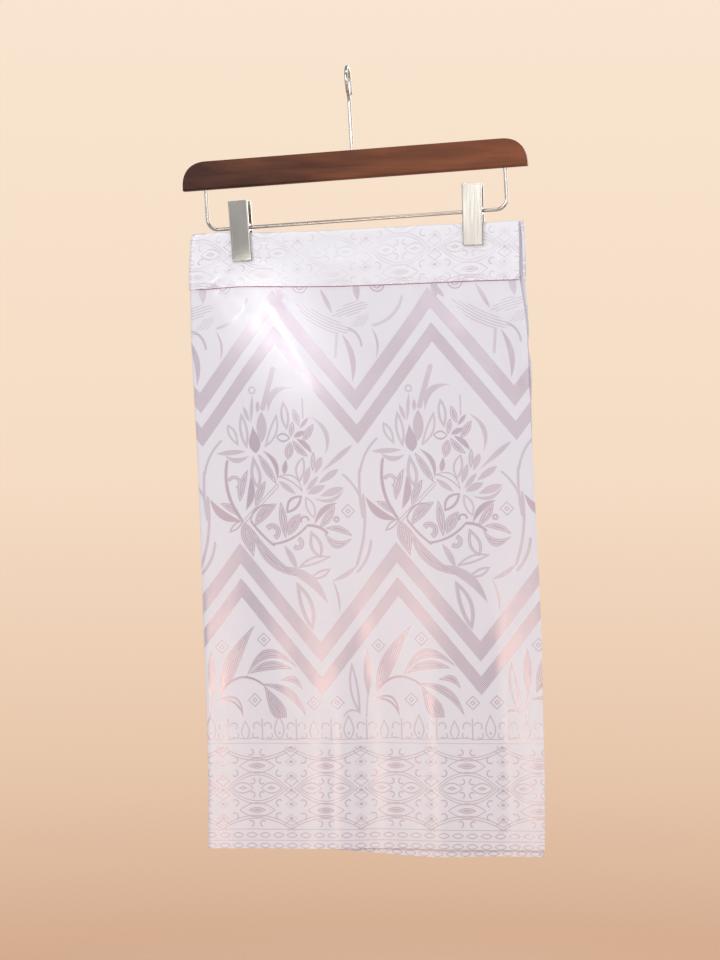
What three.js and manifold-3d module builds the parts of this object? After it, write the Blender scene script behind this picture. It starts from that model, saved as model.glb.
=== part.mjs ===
// A ready-made samping (wrapped hip cloth) folded flat and hung from a wooden clip hanger.
// Millimetres, +X right, +Y away from the front, +Z up. The origin is the point inside the
// hook's bend that rests on a rail.
//
// The cloth is one long strip wrapped flat: the front flap runs from its free edge on the right
// to the fold on the left, the back runs from that fold to the fold on the right, and the
// underlap turns in there and lies between them. Every layer is a wall whose distance from the
// folded middle plane is its "depth", so a turn at a fold is an arc about that plane.
import * as THREE from 'three';
import { mergeVertices } from 'three/addons/utils/BufferGeometryUtils.js';
import Module from 'manifold-3d';

const wasm = await Module();
wasm.setup();

const degrees = THREE.MathUtils.degToRad;
const { lerp, smoothstep } = THREE.MathUtils;

// ---- driving dimensions -------------------------------------------------------------------

const SEAT_GAP = 0.3;

// Hanger. It hangs a little askew, its right end up.
const HANGER_TILT = degrees(-3.35);
const BAR = { length: 356.4, height: 28.9, thickness: 13, top: -82.7, edge: 2.2 };
const BAR_END = { reach: 26.4, power: 2.3, steps: 9 };
const BAR_BOTTOM = BAR.top - BAR.height;
const ROD = { radius: 1.8, sides: 8, socketDepth: 9 };
const RAIL_WIRE = { halfWidth: 155, drop: 41.6, bend: 11, bendSteps: 6 };
const RAIL_WIRE_HEIGHT = BAR_BOTTOM - RAIL_WIRE.drop;
const HOOK = { radius: 14, neckBend: 10, tipDrop: 10.5, socketDepth: 14, tipBall: 2.3 };
const HOOK_SWIVEL = degrees(3);

// Clips, each turned a little on the wire. The heights count from the wire's middle.
const CLIPS = [
  { name: 'clip_left', x: -120, lean: degrees(-0.85) },
  { name: 'clip_right', x: 120.3, lean: degrees(2.1) },
];
const PLATE = { width: 20, top: 27.6, bottom: -33.8, sheet: 1, flange: 3, corner: 1.1 };
const PLATE_SPLAY = degrees(1.4);
const EAR = { radius: 3.6, hole: 2.4, sheet: 1 };
const PAD = { thickness: 2, top: -4.6, bottom: -33 };
const SPRING = { radius: 2.9, wire: 0.5, halfWidth: 6.2, turns: 4.5, legTop: 14, sides: 5 };

// Cloth. The depths are those of each layer's middle at the left fold.
const WALL = 1;
const PLY_DEPTH = 3.25;
const BAND_OUTER_DEPTH = PLY_DEPTH + WALL + SEAT_GAP;
const BAND_INNER_DEPTH = PLY_DEPTH - WALL - SEAT_GAP;
const RIGHT_TURN = 1.95;
const PLY_TOP_BELOW_BAND = 2;
const BODY = { width: 340, drop: 580, rows: 20, rowSpread: 1.25 };
const HEM = { height: 13, turnAcross: 0.002, extra: 0.5 };
const TAPE = { length: 30, pokesOut: 1.4, top: -160.5, bottom: -184 };

// Places across the folded body, 0 at the left fold and 1 at the right.
const RETURN_ACROSS = 0.03;
const UNDERLAP = { start: 0.93, end: 0.14 };
const BACK_BAND_END = 0.984;
const UNDERLAP_BAND = { start: 0.985, end: 0.999 };

// How finely the cloth's columns follow its stretches.
const FOLD_STEPS = 5;
const PANEL_STEPS = 16;
const RETURN_STEPS = 2;
const UNDERLAP_STEPS = 9;
const ROLL_STEPS = 4;

// Outline by height: middle of the left fold, free edge of the flap, middle of the right fold.
const SIDES = [
  { z: -156, foldLeft: -153.0, flapEdge: 175.6, foldRight: 177.3 },
  { z: -166, foldLeft: -154.4, flapEdge: 175.8, foldRight: 178.3 },
  { z: -172, foldLeft: -158.4, flapEdge: 176.0, foldRight: 179.0 },
  { z: -185, foldLeft: -160.4, flapEdge: 176.4, foldRight: 179.4 },
  { z: -213, foldLeft: -161.4, flapEdge: 176.9, foldRight: 180.2 },
  { z: -245, foldLeft: -161.1, flapEdge: 182.1, foldRight: 182.9 },
  { z: -266, foldLeft: -160.7, flapEdge: 184.2, foldRight: 184.5 },
  { z: -281, foldLeft: -160.2, flapEdge: 185.0, foldRight: 183.5 },
  { z: -301, foldLeft: -159.3, flapEdge: 186.0, foldRight: 186.6 },
  { z: -346, foldLeft: -156.8, flapEdge: 187.9, foldRight: 186.9 },
  { z: -437, foldLeft: -152.6, flapEdge: 192.8, foldRight: 189.7 },
  { z: -558, foldLeft: -148.8, flapEdge: 199.3, foldRight: 195.7 },
  { z: -640, foldLeft: -146.0, flapEdge: 201.6, foldRight: 199.0 },
  { z: -720, foldLeft: -143.9, flapEdge: 203.8, foldRight: 200.7 },
  { z: -806, foldLeft: -143.7, flapEdge: 204.2, foldRight: 200.8 },
];

// Heights by place across: top of the band, its seam, hem of the flap, hem of the back layers.
const LEVELS = [
  { across: 0.00, top: -165.8, seam: -223.0, frontHem: -803.4, backHem: -802.6 },
  { across: 0.06, top: -164.2, seam: -222.0, frontHem: -802.9, backHem: -802.2 },
  { across: 0.15, top: -164.6, seam: -220.0, frontHem: -801.5, backHem: -800.9 },
  { across: 0.34, top: -164.1, seam: -220.4, frontHem: -799.0, backHem: -798.6 },
  { across: 0.45, top: -163.1, seam: -220.2, frontHem: -797.6, backHem: -801.7 },
  { across: 0.67, top: -159.9, seam: -218.2, frontHem: -795.2, backHem: -804.1 },
  { across: 0.87, top: -157.6, seam: -215.8, frontHem: -794.8, backHem: -802.0 },
  { across: 1.00, top: -155.9, seam: -214.9, frontHem: -793.2, backHem: -800.8 },
];

// Soft standing folds of the hanging part: where each starts and ends, its reach and its depth.
// They set in between two drops below the origin, and run from their top place to their hem place.
const FOLDS_SET_IN = { from: 200, to: 300 };
const FOLDS_RUN = { from: 225, to: 800 };
const SOFT_FOLDS = [
  { topX: -118, hemX: -112, reach: 26, topDepth: 0.6, hemDepth: 2.2 },
  { topX: -60, hemX: -22, reach: 34, topDepth: -1.0, hemDepth: -2.8 },
  { topX: 10, hemX: 34, reach: 22, topDepth: 0.2, hemDepth: 2.4 },
  { topX: 70, hemX: 96, reach: 32, topDepth: -0.6, hemDepth: -2.2 },
  { topX: 140, hemX: 160, reach: 30, topDepth: 0.8, hemDepth: 2.0 },
];

// ---- materials ----------------------------------------------------------------------------

const finish = (color, roughness, metalness) => new THREE.MeshStandardMaterial({
  color, roughness, metalness, side: THREE.DoubleSide,
});
const satin = finish('#e6e0e8', 0.45, 0);
const bandSatin = finish('#efebf0', 0.4, 0);
const tapeNylon = finish('#fbfbfb', 0.9, 0);
const wood = finish('#5b3023', 0.45, 0);
const chrome = finish('#c9c6c2', 0.15, 1);
const brushedSteel = finish('#c4c2bc', 0.35, 1);
const springSteel = finish('#b5763f', 0.3, 1);
const rubber = finish('#1b1a1a', 0.7, 0);

// ---- making closed meshes -----------------------------------------------------------------

/** Turns an indexed geometry inside out where its faces point inwards. */
function facingOut(geometry) {
  const corners = [new THREE.Vector3(), new THREE.Vector3(), new THREE.Vector3()];
  const { index, attributes: { position } } = geometry;
  let volume = 0;
  for (let i = 0; i < index.count; i += 3) {
    corners.forEach((corner, k) => corner.fromBufferAttribute(position, index.getX(i + k)));
    volume += corners[0].dot(corners[1].clone().cross(corners[2]));
  }
  if (volume < 0) index.array.reverse();
  geometry.computeVertexNormals();
  return geometry;
}

/** A closed wall from two faces; point(column, row, face) has face +1 outside and -1 inside. */
function closedWall(columns, rows, point) {
  const positions = [];
  const corner = (i, j, face) => 2 * (i * rows.length + j) + (face < 0 ? 1 : 0);
  for (const column of columns) {
    for (const row of rows) positions.push(...point(column, row, 1), ...point(column, row, -1));
  }
  const index = [];
  const quad = (a, b, c, d) => index.push(a, b, c, a, c, d);
  const lastColumn = columns.length - 1;
  const lastRow = rows.length - 1;
  for (let i = 0; i < lastColumn; i++) {
    for (let j = 0; j < lastRow; j++) {
      quad(corner(i, j, 1), corner(i + 1, j, 1), corner(i + 1, j + 1, 1), corner(i, j + 1, 1));
      quad(corner(i, j, -1), corner(i, j + 1, -1), corner(i + 1, j + 1, -1), corner(i + 1, j, -1));
    }
    quad(corner(i, 0, 1), corner(i, 0, -1), corner(i + 1, 0, -1), corner(i + 1, 0, 1));
    quad(corner(i, lastRow, 1), corner(i + 1, lastRow, 1),
      corner(i + 1, lastRow, -1), corner(i, lastRow, -1));
  }
  for (let j = 0; j < lastRow; j++) {
    quad(corner(0, j, 1), corner(0, j + 1, 1), corner(0, j + 1, -1), corner(0, j, -1));
    quad(corner(lastColumn, j, 1), corner(lastColumn, j, -1),
      corner(lastColumn, j + 1, -1), corner(lastColumn, j + 1, 1));
  }
  const geometry = new THREE.BufferGeometry();
  geometry.setAttribute('position', new THREE.Float32BufferAttribute(positions, 3));
  geometry.setIndex(index);
  return facingOut(geometry);
}

/** A solid that can be joined and cut, from a closed geometry. */
function solid(geometry) {
  const bare = geometry.clone();
  bare.deleteAttribute('normal');
  bare.deleteAttribute('uv');
  const merged = mergeVertices(bare, 1e-4);
  return new wasm.Manifold(new wasm.Mesh({
    numProp: 3,
    vertProperties: new Float32Array(merged.attributes.position.array),
    triVerts: new Uint32Array(merged.index.array),
  }));
}

/** The geometry of a joined or cut solid. */
function geometryOf(manifold) {
  const { vertProperties, triVerts } = manifold.getMesh();
  const geometry = new THREE.BufferGeometry();
  geometry.setAttribute('position', new THREE.Float32BufferAttribute(vertProperties, 3));
  geometry.setIndex(Array.from(triVerts));
  geometry.computeVertexNormals();
  return geometry;
}

/** A path through stations, one step of an extrusion at each. */
class Stations extends THREE.Curve {
  constructor(points) {
    super();
    this.points = points;
  }

  getPoint(t, target = new THREE.Vector3()) {
    const place = THREE.MathUtils.clamp(t, 0, 1) * (this.points.length - 1);
    const before = Math.min(Math.floor(place), this.points.length - 2);
    return target.lerpVectors(this.points[before], this.points[before + 1], place - before);
  }

  getPointAt(u, target) {
    return this.getPoint(u, target);
  }

  getTangentAt(u, target) {
    return this.getTangent(u, target);
  }
}

/** A round rod along stations. */
function rod(points, radius, sides) {
  const section = new THREE.Shape();
  for (let k = 0; k < sides; k++) {
    const angle = (2 * Math.PI * k) / sides;
    const point = [radius * Math.cos(angle), radius * Math.sin(angle)];
    if (k === 0) section.moveTo(...point);
    else section.lineTo(...point);
  }
  section.closePath();
  const path = new Stations(points);
  return new THREE.ExtrudeGeometry(section, { extrudePath: path, steps: points.length - 1 });
}

function piece(name, geometry, material) {
  const mesh = new THREE.Mesh(geometry, material);
  mesh.name = name;
  return mesh;
}

// ---- the cloth's surface ------------------------------------------------------------------

/** The value of a column at a place in a table, on a smooth curve through the rows. */
function read(table, by, column, value) {
  const rising = table[0][by] < table[table.length - 1][by];
  const rows = rising ? table : [...table].reverse();
  let k = 0;
  while (k < rows.length - 2 && value > rows[k + 1][by]) k++;
  const slope = (i, j) => (rows[j][column] - rows[i][column]) / (rows[j][by] - rows[i][by]);
  const width = rows[k + 1][by] - rows[k][by];
  const t = THREE.MathUtils.clamp((value - rows[k][by]) / width, 0, 1);
  const startSlope = slope(Math.max(k - 1, 0), k + 1) * width;
  const endSlope = slope(k, Math.min(k + 2, rows.length - 1)) * width;
  const [a, b] = [rows[k][column], rows[k + 1][column]];
  return a * (1 + 2 * t) * (1 - t) ** 2 + startSlope * t * (1 - t) ** 2
    + b * t * t * (3 - 2 * t) - endSlope * t * t * (1 - t);
}

/** The height at a place across and a level: -1 top of the band, 0 its seam, 1 the hem. */
function heightAt(across, level, hem) {
  const seam = read(LEVELS, 'across', 'seam', across);
  const end = read(LEVELS, 'across', level < 0 ? 'top' : hem, across);
  return lerp(seam, end, Math.abs(level));
}

/** How far the soft folds push the cloth back at a place. */
function softFold(x, z) {
  const down = smoothstep(-z, FOLDS_RUN.from, FOLDS_RUN.to);
  const hanging = smoothstep(-z, FOLDS_SET_IN.from, FOLDS_SET_IN.to);
  let push = 0;
  for (const fold of SOFT_FOLDS) {
    const middle = lerp(fold.topX, fold.hemX, down);
    const depth = lerp(fold.topDepth, fold.hemDepth, down);
    push += depth * Math.exp(-(((x - middle) / fold.reach) ** 2));
  }
  return push * hanging;
}

// The stretches of the wrapped strip. Each gives the plan of a layer at some depth.
const STRETCHES = {
  front: ({ across }, z, depth) => {
    const x = lerp(read(SIDES, 'z', 'foldLeft', z), read(SIDES, 'z', 'flapEdge', z), across);
    return [x, -depth];
  },
  leftTurn: ({ angle }, z, depth) => {
    const middle = read(SIDES, 'z', 'foldLeft', z);
    return [middle - depth * Math.cos(angle), depth * Math.sin(angle)];
  },
  back: ({ across }, z, depth) => {
    const x = lerp(read(SIDES, 'z', 'foldLeft', z), read(SIDES, 'z', 'foldRight', z), across);
    return [x, depth];
  },
  rightTurn: ({ angle }, z, depth) => {
    const middle = read(SIDES, 'z', 'foldRight', z);
    const radius = depth - RIGHT_TURN;
    return [middle + radius * Math.cos(angle), RIGHT_TURN + radius * Math.sin(angle)];
  },
  underlap: ({ across }, z, depth) => {
    const x = lerp(read(SIDES, 'z', 'foldLeft', z), read(SIDES, 'z', 'foldRight', z), across);
    return [x, 2 * RIGHT_TURN - depth];
  },
};

/** Columns of one flat stretch, evenly spread from one place across to another. */
function flat(stretch, from, to, steps) {
  return Array.from({ length: steps + 1 }, (_, k) => ({ stretch, across: lerp(from, to, k / steps) }));
}

/** Columns round a fold, without its two ends. */
function turn(stretch, from, to, across) {
  return Array.from({ length: FOLD_STEPS - 1 }, (_, k) => (
    { stretch, across, angle: lerp(from, to, (k + 1) / FOLD_STEPS) }
  ));
}

/** A point of the cloth, at a depth from the folded middle plane. */
function clothPoint(column, z, depth) {
  const [x, y] = STRETCHES[column.stretch](column, z, depth);
  return [x, y + softFold(x, z), z];
}

const QUARTER = Math.PI / 2;
const LEFT_TURN = turn('leftTurn', -QUARTER, QUARTER, 0);
const RIGHT_TURN_COLUMNS = turn('rightTurn', QUARTER, -QUARTER, 1);
const columnGap = SEAT_GAP / BODY.width;

const FRONT_COLUMNS = [
  ...flat('front', 1, 0, PANEL_STEPS),
  ...LEFT_TURN,
  ...flat('back', 0, RETURN_ACROSS, 1),
];
const BACK_COLUMNS = [
  ...flat('back', RETURN_ACROSS + columnGap, 1, PANEL_STEPS),
  ...RIGHT_TURN_COLUMNS,
  ...flat('underlap', 1, UNDERLAP.start + columnGap, RETURN_STEPS),
];
const BACK_BAND_COLUMNS = flat('back', RETURN_ACROSS + columnGap, BACK_BAND_END, PANEL_STEPS);
const UNDERLAP_COLUMNS = flat('underlap', UNDERLAP.start, UNDERLAP.end, UNDERLAP_STEPS);

// ---- panels -------------------------------------------------------------------------------

/** The rows of a panel, close together below the band and wider apart towards the hem. */
function panelRows(hemDepth) {
  const rows = [{ level: -1 }, { level: -0.5 }, { level: 0 }];
  const hemLevel = 1 - HEM.height / BODY.drop;
  for (let k = 1; k <= BODY.rows; k++) {
    rows.push({ level: hemLevel * (k / BODY.rows) ** BODY.rowSpread });
  }
  rows.push({ level: hemLevel + HEM.turnAcross, extra: hemDepth }, { level: 1, extra: hemDepth });
  return rows;
}

/** A panel wall; its turned-up hem is thicker on the inside. */
function panel(columns, hem) {
  return closedWall(columns, panelRows(HEM.extra), (column, row, face) => {
    const below = row.level === -1 ? PLY_TOP_BELOW_BAND : 0;
    const z = heightAt(column.across, row.level, hem) - below;
    const inside = face < 0 ? row.extra ?? 0 : 0;
    return clothPoint(column, z, PLY_DEPTH + (face * WALL) / 2 - inside);
  });
}

/** The waistband: a strip folded over the top edge, with an outer and an inner leg. */
function waistband(columns) {
  const middle = (BAND_OUTER_DEPTH + BAND_INNER_DEPTH) / 2;
  const roll = (BAND_OUTER_DEPTH - BAND_INNER_DEPTH) / 2;
  const rows = [];
  for (const up of [0, 0.35, 0.7]) rows.push({ depth: roll, up, angle: 0 });
  for (let k = 0; k <= ROLL_STEPS; k++) {
    const angle = (Math.PI * k) / ROLL_STEPS;
    rows.push({ depth: roll * Math.cos(angle), up: 1, rise: roll * Math.sin(angle), angle });
  }
  for (const up of [0.5, 0]) rows.push({ depth: -roll, up, angle: Math.PI });
  return closedWall(columns, rows, (column, row, face) => {
    const { across } = column;
    const rollHeight = read(LEVELS, 'across', 'top', across) - roll - WALL / 2;
    const seam = read(LEVELS, 'across', 'seam', across);
    const offset = (face * WALL) / 2;
    const z = lerp(seam, rollHeight, row.up) + (row.rise ?? 0) + offset * Math.sin(row.angle);
    return clothPoint(column, z, middle + row.depth + offset * Math.cos(row.angle));
  });
}

/** The end of the underlap's band that shows beyond the flap: round the fold and back in. */
function underlapBand() {
  const columns = [
    ...flat('back', UNDERLAP_BAND.start, 1, 1),
    ...RIGHT_TURN_COLUMNS,
    ...flat('underlap', 1, UNDERLAP_BAND.end, 1),
  ];
  const rows = [0, 0.25, 0.5, 0.75, 1].map((up) => ({ up }));
  return closedWall(columns, rows, (column, row, face) => {
    const seam = read(LEVELS, 'across', 'seam', column.across);
    const top = read(LEVELS, 'across', 'top', column.across);
    return clothPoint(column, lerp(seam, top, row.up), BAND_OUTER_DEPTH + (face * WALL) / 2);
  });
}

/** Hook-and-loop tape inside the free end of the band, its edge peeping out. */
function closureTape() {
  const right = read(SIDES, 'z', 'flapEdge', TAPE.top) + TAPE.pokesOut;
  const box = new THREE.BoxGeometry(TAPE.length, WALL, TAPE.top - TAPE.bottom);
  const depth = BAND_INNER_DEPTH - WALL - SEAT_GAP;
  return box.translate(right - TAPE.length / 2, -depth, (TAPE.top + TAPE.bottom) / 2);
}

const cloth = new THREE.Group();
cloth.add(
  piece('front_panel', panel(FRONT_COLUMNS, 'frontHem'), satin),
  piece('back_panel', panel(BACK_COLUMNS, 'backHem'), satin),
  piece('underlap_panel', panel(UNDERLAP_COLUMNS, 'backHem'), satin),
  piece('waistband_front', waistband(FRONT_COLUMNS), bandSatin),
  piece('waistband_back', waistband(BACK_BAND_COLUMNS), bandSatin),
  piece('waistband_underlap', underlapBand(), bandSatin),
  piece('closure_tape', closureTape(), tapeNylon),
);

// ---- hanger -------------------------------------------------------------------------------

/** A wooden bar with rounded shoulders and a flat underside, bored for its hook and wire. */
function bar() {
  const half = BAR.length / 2;
  const outline = new THREE.Shape();
  outline.moveTo(-half, BAR_BOTTOM);
  outline.lineTo(half, BAR_BOTTOM);
  for (const side of [1, -1]) {
    for (let k = 1; k <= BAR_END.steps; k++) {
      const step = side > 0 ? k : BAR_END.steps - k;
      const angle = (QUARTER * step) / BAR_END.steps;
      const x = half - BAR_END.reach * (1 - Math.cos(angle) ** (2 / BAR_END.power));
      outline.lineTo(side * x, BAR_BOTTOM + BAR.height * Math.sin(angle) ** (2 / BAR_END.power));
    }
  }
  const timber = new THREE.ExtrudeGeometry(outline, {
    depth: BAR.thickness - 2 * BAR.edge,
    bevelThickness: BAR.edge,
    bevelSize: BAR.edge,
    bevelOffset: -BAR.edge,
    bevelSegments: 2,
  });
  timber.translate(0, 0, BAR.edge - BAR.thickness / 2).rotateX(QUARTER);
  const bore = (depth, x, z) => {
    const cutter = new THREE.CylinderGeometry(ROD.radius + SEAT_GAP, ROD.radius + SEAT_GAP, depth, 12);
    return solid(cutter.rotateX(QUARTER).translate(x, 0, z));
  };
  const clear = 1;
  const wireDepth = ROD.socketDepth + clear;
  let bored = solid(timber);
  for (const x of [-RAIL_WIRE.halfWidth, RAIL_WIRE.halfWidth]) {
    bored = bored.subtract(bore(2 * wireDepth, x, BAR_BOTTOM));
  }
  bored = bored.subtract(bore(2 * (HOOK.socketDepth + clear), 0, BAR.top));
  return geometryOf(bored);
}

/** The wire below the bar: down, across and up again. */
function railWire() {
  const { halfWidth, bend, bendSteps } = RAIL_WIRE;
  const top = BAR_BOTTOM + ROD.socketDepth;
  const right = [new THREE.Vector3(0, 0, RAIL_WIRE_HEIGHT)];
  for (let k = 0; k <= bendSteps; k++) {
    const angle = (QUARTER * k) / bendSteps;
    const x = halfWidth - bend + bend * Math.sin(angle);
    right.push(new THREE.Vector3(x, 0, RAIL_WIRE_HEIGHT + bend - bend * Math.cos(angle)));
  }
  right.push(new THREE.Vector3(halfWidth, 0, top));
  const left = right.slice(1).map((point) => point.clone().setX(-point.x)).reverse();
  return rod([...left, ...right], ROD.radius, ROD.sides);
}

/** The hook, bent in one plane: shank, neck, round over the rail and down behind it. */
function hook() {
  const { radius, neckBend, tipDrop } = HOOK;
  const middle = -(radius - ROD.radius);
  const at = (y, z) => new THREE.Vector3(0, y, z);
  const rise = Math.sqrt((neckBend + radius) ** 2 - neckBend ** 2);
  const neckHeight = middle - rise;
  const neckTurn = Math.atan2(rise, neckBend);
  const points = [at(0, BAR.top - HOOK.socketDepth)];
  for (let k = 0; k <= 5; k++) {
    const angle = (neckTurn * k) / 5;
    points.push(at(neckBend * (Math.cos(angle) - 1), neckHeight + neckBend * Math.sin(angle)));
  }
  const start = Math.PI + neckTurn;
  const steps = 18;
  for (let k = 1; k <= steps; k++) {
    const angle = lerp(start, 0, k / steps);
    points.push(at(radius * Math.cos(angle), middle + radius * Math.sin(angle)));
  }
  points.push(at(radius, middle - tipDrop));
  const ball = new THREE.SphereGeometry(HOOK.tipBall, 10, 7).translate(0, radius, middle - tipDrop);
  return geometryOf(solid(rod(points, ROD.radius, ROD.sides)).add(solid(ball)));
}

/** One clip plate, facing -Y: a shallow channel with two ears round the wire. */
function clipPlate(face, earMiddle) {
  const half = PLATE.width / 2;
  const { sheet, flange, corner } = PLATE;
  const section = new THREE.Shape();
  section.moveTo(-half, flange);
  section.lineTo(-half, corner);
  section.quadraticCurveTo(-half, 0, corner - half, 0);
  section.lineTo(half - corner, 0);
  section.quadraticCurveTo(half, 0, half, corner);
  section.lineTo(half, flange);
  section.lineTo(half - sheet, flange);
  section.lineTo(half - sheet, sheet);
  section.lineTo(sheet - half, sheet);
  section.lineTo(sheet - half, flange);
  const length = PLATE.top - PLATE.bottom;
  const channel = new THREE.ExtrudeGeometry(section, {
    depth: length, bevelEnabled: false, curveSegments: 3,
  });
  channel.translate(0, -face, PLATE.bottom);
  const ear = new THREE.Shape();
  ear.moveTo(-face + sheet / 2, -EAR.radius);
  ear.lineTo(0, -EAR.radius);
  ear.absarc(0, 0, EAR.radius, -QUARTER, QUARTER, false);
  ear.lineTo(-face + sheet / 2, EAR.radius);
  ear.closePath();
  const eye = new THREE.Path();
  eye.absarc(0, 0, EAR.hole, 0, 2 * Math.PI, true);
  ear.holes.push(eye);
  let plate = solid(channel);
  for (const side of [-1, 1]) {
    const tab = new THREE.ExtrudeGeometry(ear, {
      depth: EAR.sheet, bevelEnabled: false, curveSegments: 6,
    });
    tab.rotateX(QUARTER).rotateZ(QUARTER).translate(side * earMiddle - EAR.sheet / 2, 0, 0);
    plate = plate.add(solid(tab));
  }
  return geometryOf(plate);
}

/** A torsion spring round the wire, its two legs up inside the plates. */
function clipSpring(legReach) {
  const { radius, halfWidth, turns, legTop, wire, sides } = SPRING;
  const points = [new THREE.Vector3(-halfWidth, -legReach, legTop)];
  const steps = Math.round(turns * 10);
  for (let k = 0; k <= steps; k++) {
    const angle = Math.PI + 2 * Math.PI * turns * (k / steps);
    const x = lerp(-halfWidth, halfWidth, k / steps);
    points.push(new THREE.Vector3(x, radius * Math.cos(angle), radius * Math.sin(angle)));
  }
  points.push(new THREE.Vector3(halfWidth, legReach, legTop));
  return rod(points, wire, sides);
}

/** A clip: two splayed plates, a spring and two rubber jaw pads, pivoting on the wire. */
function clip({ name, x, lean }) {
  const jawDrop = -PAD.bottom;
  const padFace = BAND_OUTER_DEPTH + WALL / 2 + SEAT_GAP;
  const plateFace = (padFace + PAD.thickness + SEAT_GAP + PLATE.sheet + jawDrop * Math.sin(PLATE_SPLAY))
    / Math.cos(PLATE_SPLAY);
  const padWidth = PLATE.width - 2 * (PLATE.sheet + SEAT_GAP);
  const padMiddle = plateFace - PLATE.sheet - SEAT_GAP - PAD.thickness / 2;
  const earOuter = PLATE.width / 2 - EAR.sheet / 2;
  const clipGroup = new THREE.Group();
  for (const { side, earMiddle, half } of [
    { side: 'front', earMiddle: earOuter, half: 0 },
    { side: 'back', earMiddle: earOuter - EAR.sheet - SEAT_GAP, half: Math.PI },
  ]) {
    const pad = new THREE.BoxGeometry(padWidth, PAD.thickness, PAD.top - PAD.bottom);
    pad.translate(0, -padMiddle, (PAD.top + PAD.bottom) / 2);
    const jaw = new THREE.Group();
    jaw.rotation.set(PLATE_SPLAY, 0, 0);
    jaw.add(
      piece(`${name}_${side}_plate`, clipPlate(plateFace, earMiddle), brushedSteel),
      piece(`${name}_${side}_pad`, pad, rubber),
    );
    const turned = new THREE.Group();
    turned.rotation.z = half;
    turned.add(jaw);
    clipGroup.add(turned);
  }
  const legReach = plateFace - PLATE.sheet - SEAT_GAP - SPRING.wire;
  clipGroup.add(piece(`${name}_spring`, clipSpring(legReach), springSteel));
  clipGroup.position.set(x, 0, RAIL_WIRE_HEIGHT);
  clipGroup.rotation.y = lean;
  return clipGroup;
}

const hookPiece = piece('hanger_hook', hook(), chrome);
hookPiece.rotation.z = HOOK_SWIVEL;

const hanger = new THREE.Group();
hanger.rotation.y = HANGER_TILT;
hanger.add(
  hookPiece,
  piece('hanger_bar', bar(), wood),
  piece('hanger_wire', railWire(), chrome),
  ...CLIPS.map(clip),
);

const samping = new THREE.Group();
samping.add(cloth, hanger);

export default samping;
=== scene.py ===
"""A ready-made samping, folded flat on a wooden clip hanger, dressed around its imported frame.

The cloth is one wrapped strip: the flap in front, the fold on the left, the back, the fold on the
right and the underlap that turns in there. Its woven figures are charted in cloth millimetres,
across from the left fold and down from the seam of the band, so they run on round the folds.
"""

from __future__ import annotations

import logging
import math
from dataclasses import dataclass
from enum import Enum
from typing import Callable, NamedTuple, Optional, Sequence, Union

import bpy
import numpy as np
from mathutils import Matrix, Vector

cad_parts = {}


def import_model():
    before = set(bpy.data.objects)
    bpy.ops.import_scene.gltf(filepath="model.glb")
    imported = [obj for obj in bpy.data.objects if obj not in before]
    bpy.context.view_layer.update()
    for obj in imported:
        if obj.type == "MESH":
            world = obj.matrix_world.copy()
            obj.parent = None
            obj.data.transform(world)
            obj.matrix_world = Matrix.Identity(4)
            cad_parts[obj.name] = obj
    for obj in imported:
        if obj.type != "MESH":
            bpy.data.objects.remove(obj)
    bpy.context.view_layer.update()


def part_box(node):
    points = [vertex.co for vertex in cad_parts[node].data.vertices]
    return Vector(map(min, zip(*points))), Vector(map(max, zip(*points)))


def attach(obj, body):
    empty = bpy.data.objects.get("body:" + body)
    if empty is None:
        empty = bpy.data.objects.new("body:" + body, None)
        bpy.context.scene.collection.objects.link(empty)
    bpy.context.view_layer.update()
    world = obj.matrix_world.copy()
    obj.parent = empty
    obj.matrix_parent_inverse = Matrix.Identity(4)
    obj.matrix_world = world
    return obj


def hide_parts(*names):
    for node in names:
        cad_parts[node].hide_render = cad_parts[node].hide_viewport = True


LOG = logging.getLogger("samping")

MM = 0.001
TURN = 2 * math.pi
QUARTER = math.pi / 2
HANGER_TILT = math.radians(-3.35)
TILT = Matrix.Rotation(HANGER_TILT, 4, "Y")

Place = tuple[float, float]
Tint = tuple[float, float, float]
Colour = tuple[float, float, float, float]


def srgb(red: float, green: float, blue: float) -> Colour:
    """A colour given in display values from 0 to 255, as linear values with a full alpha."""
    linear = [((c / 255 + 0.055) / 1.055) ** 2.4 for c in (red, green, blue)]
    return (*linear, 1.0)


# ---- arithmetic in node trees ------------------------------------------------------------------


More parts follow.
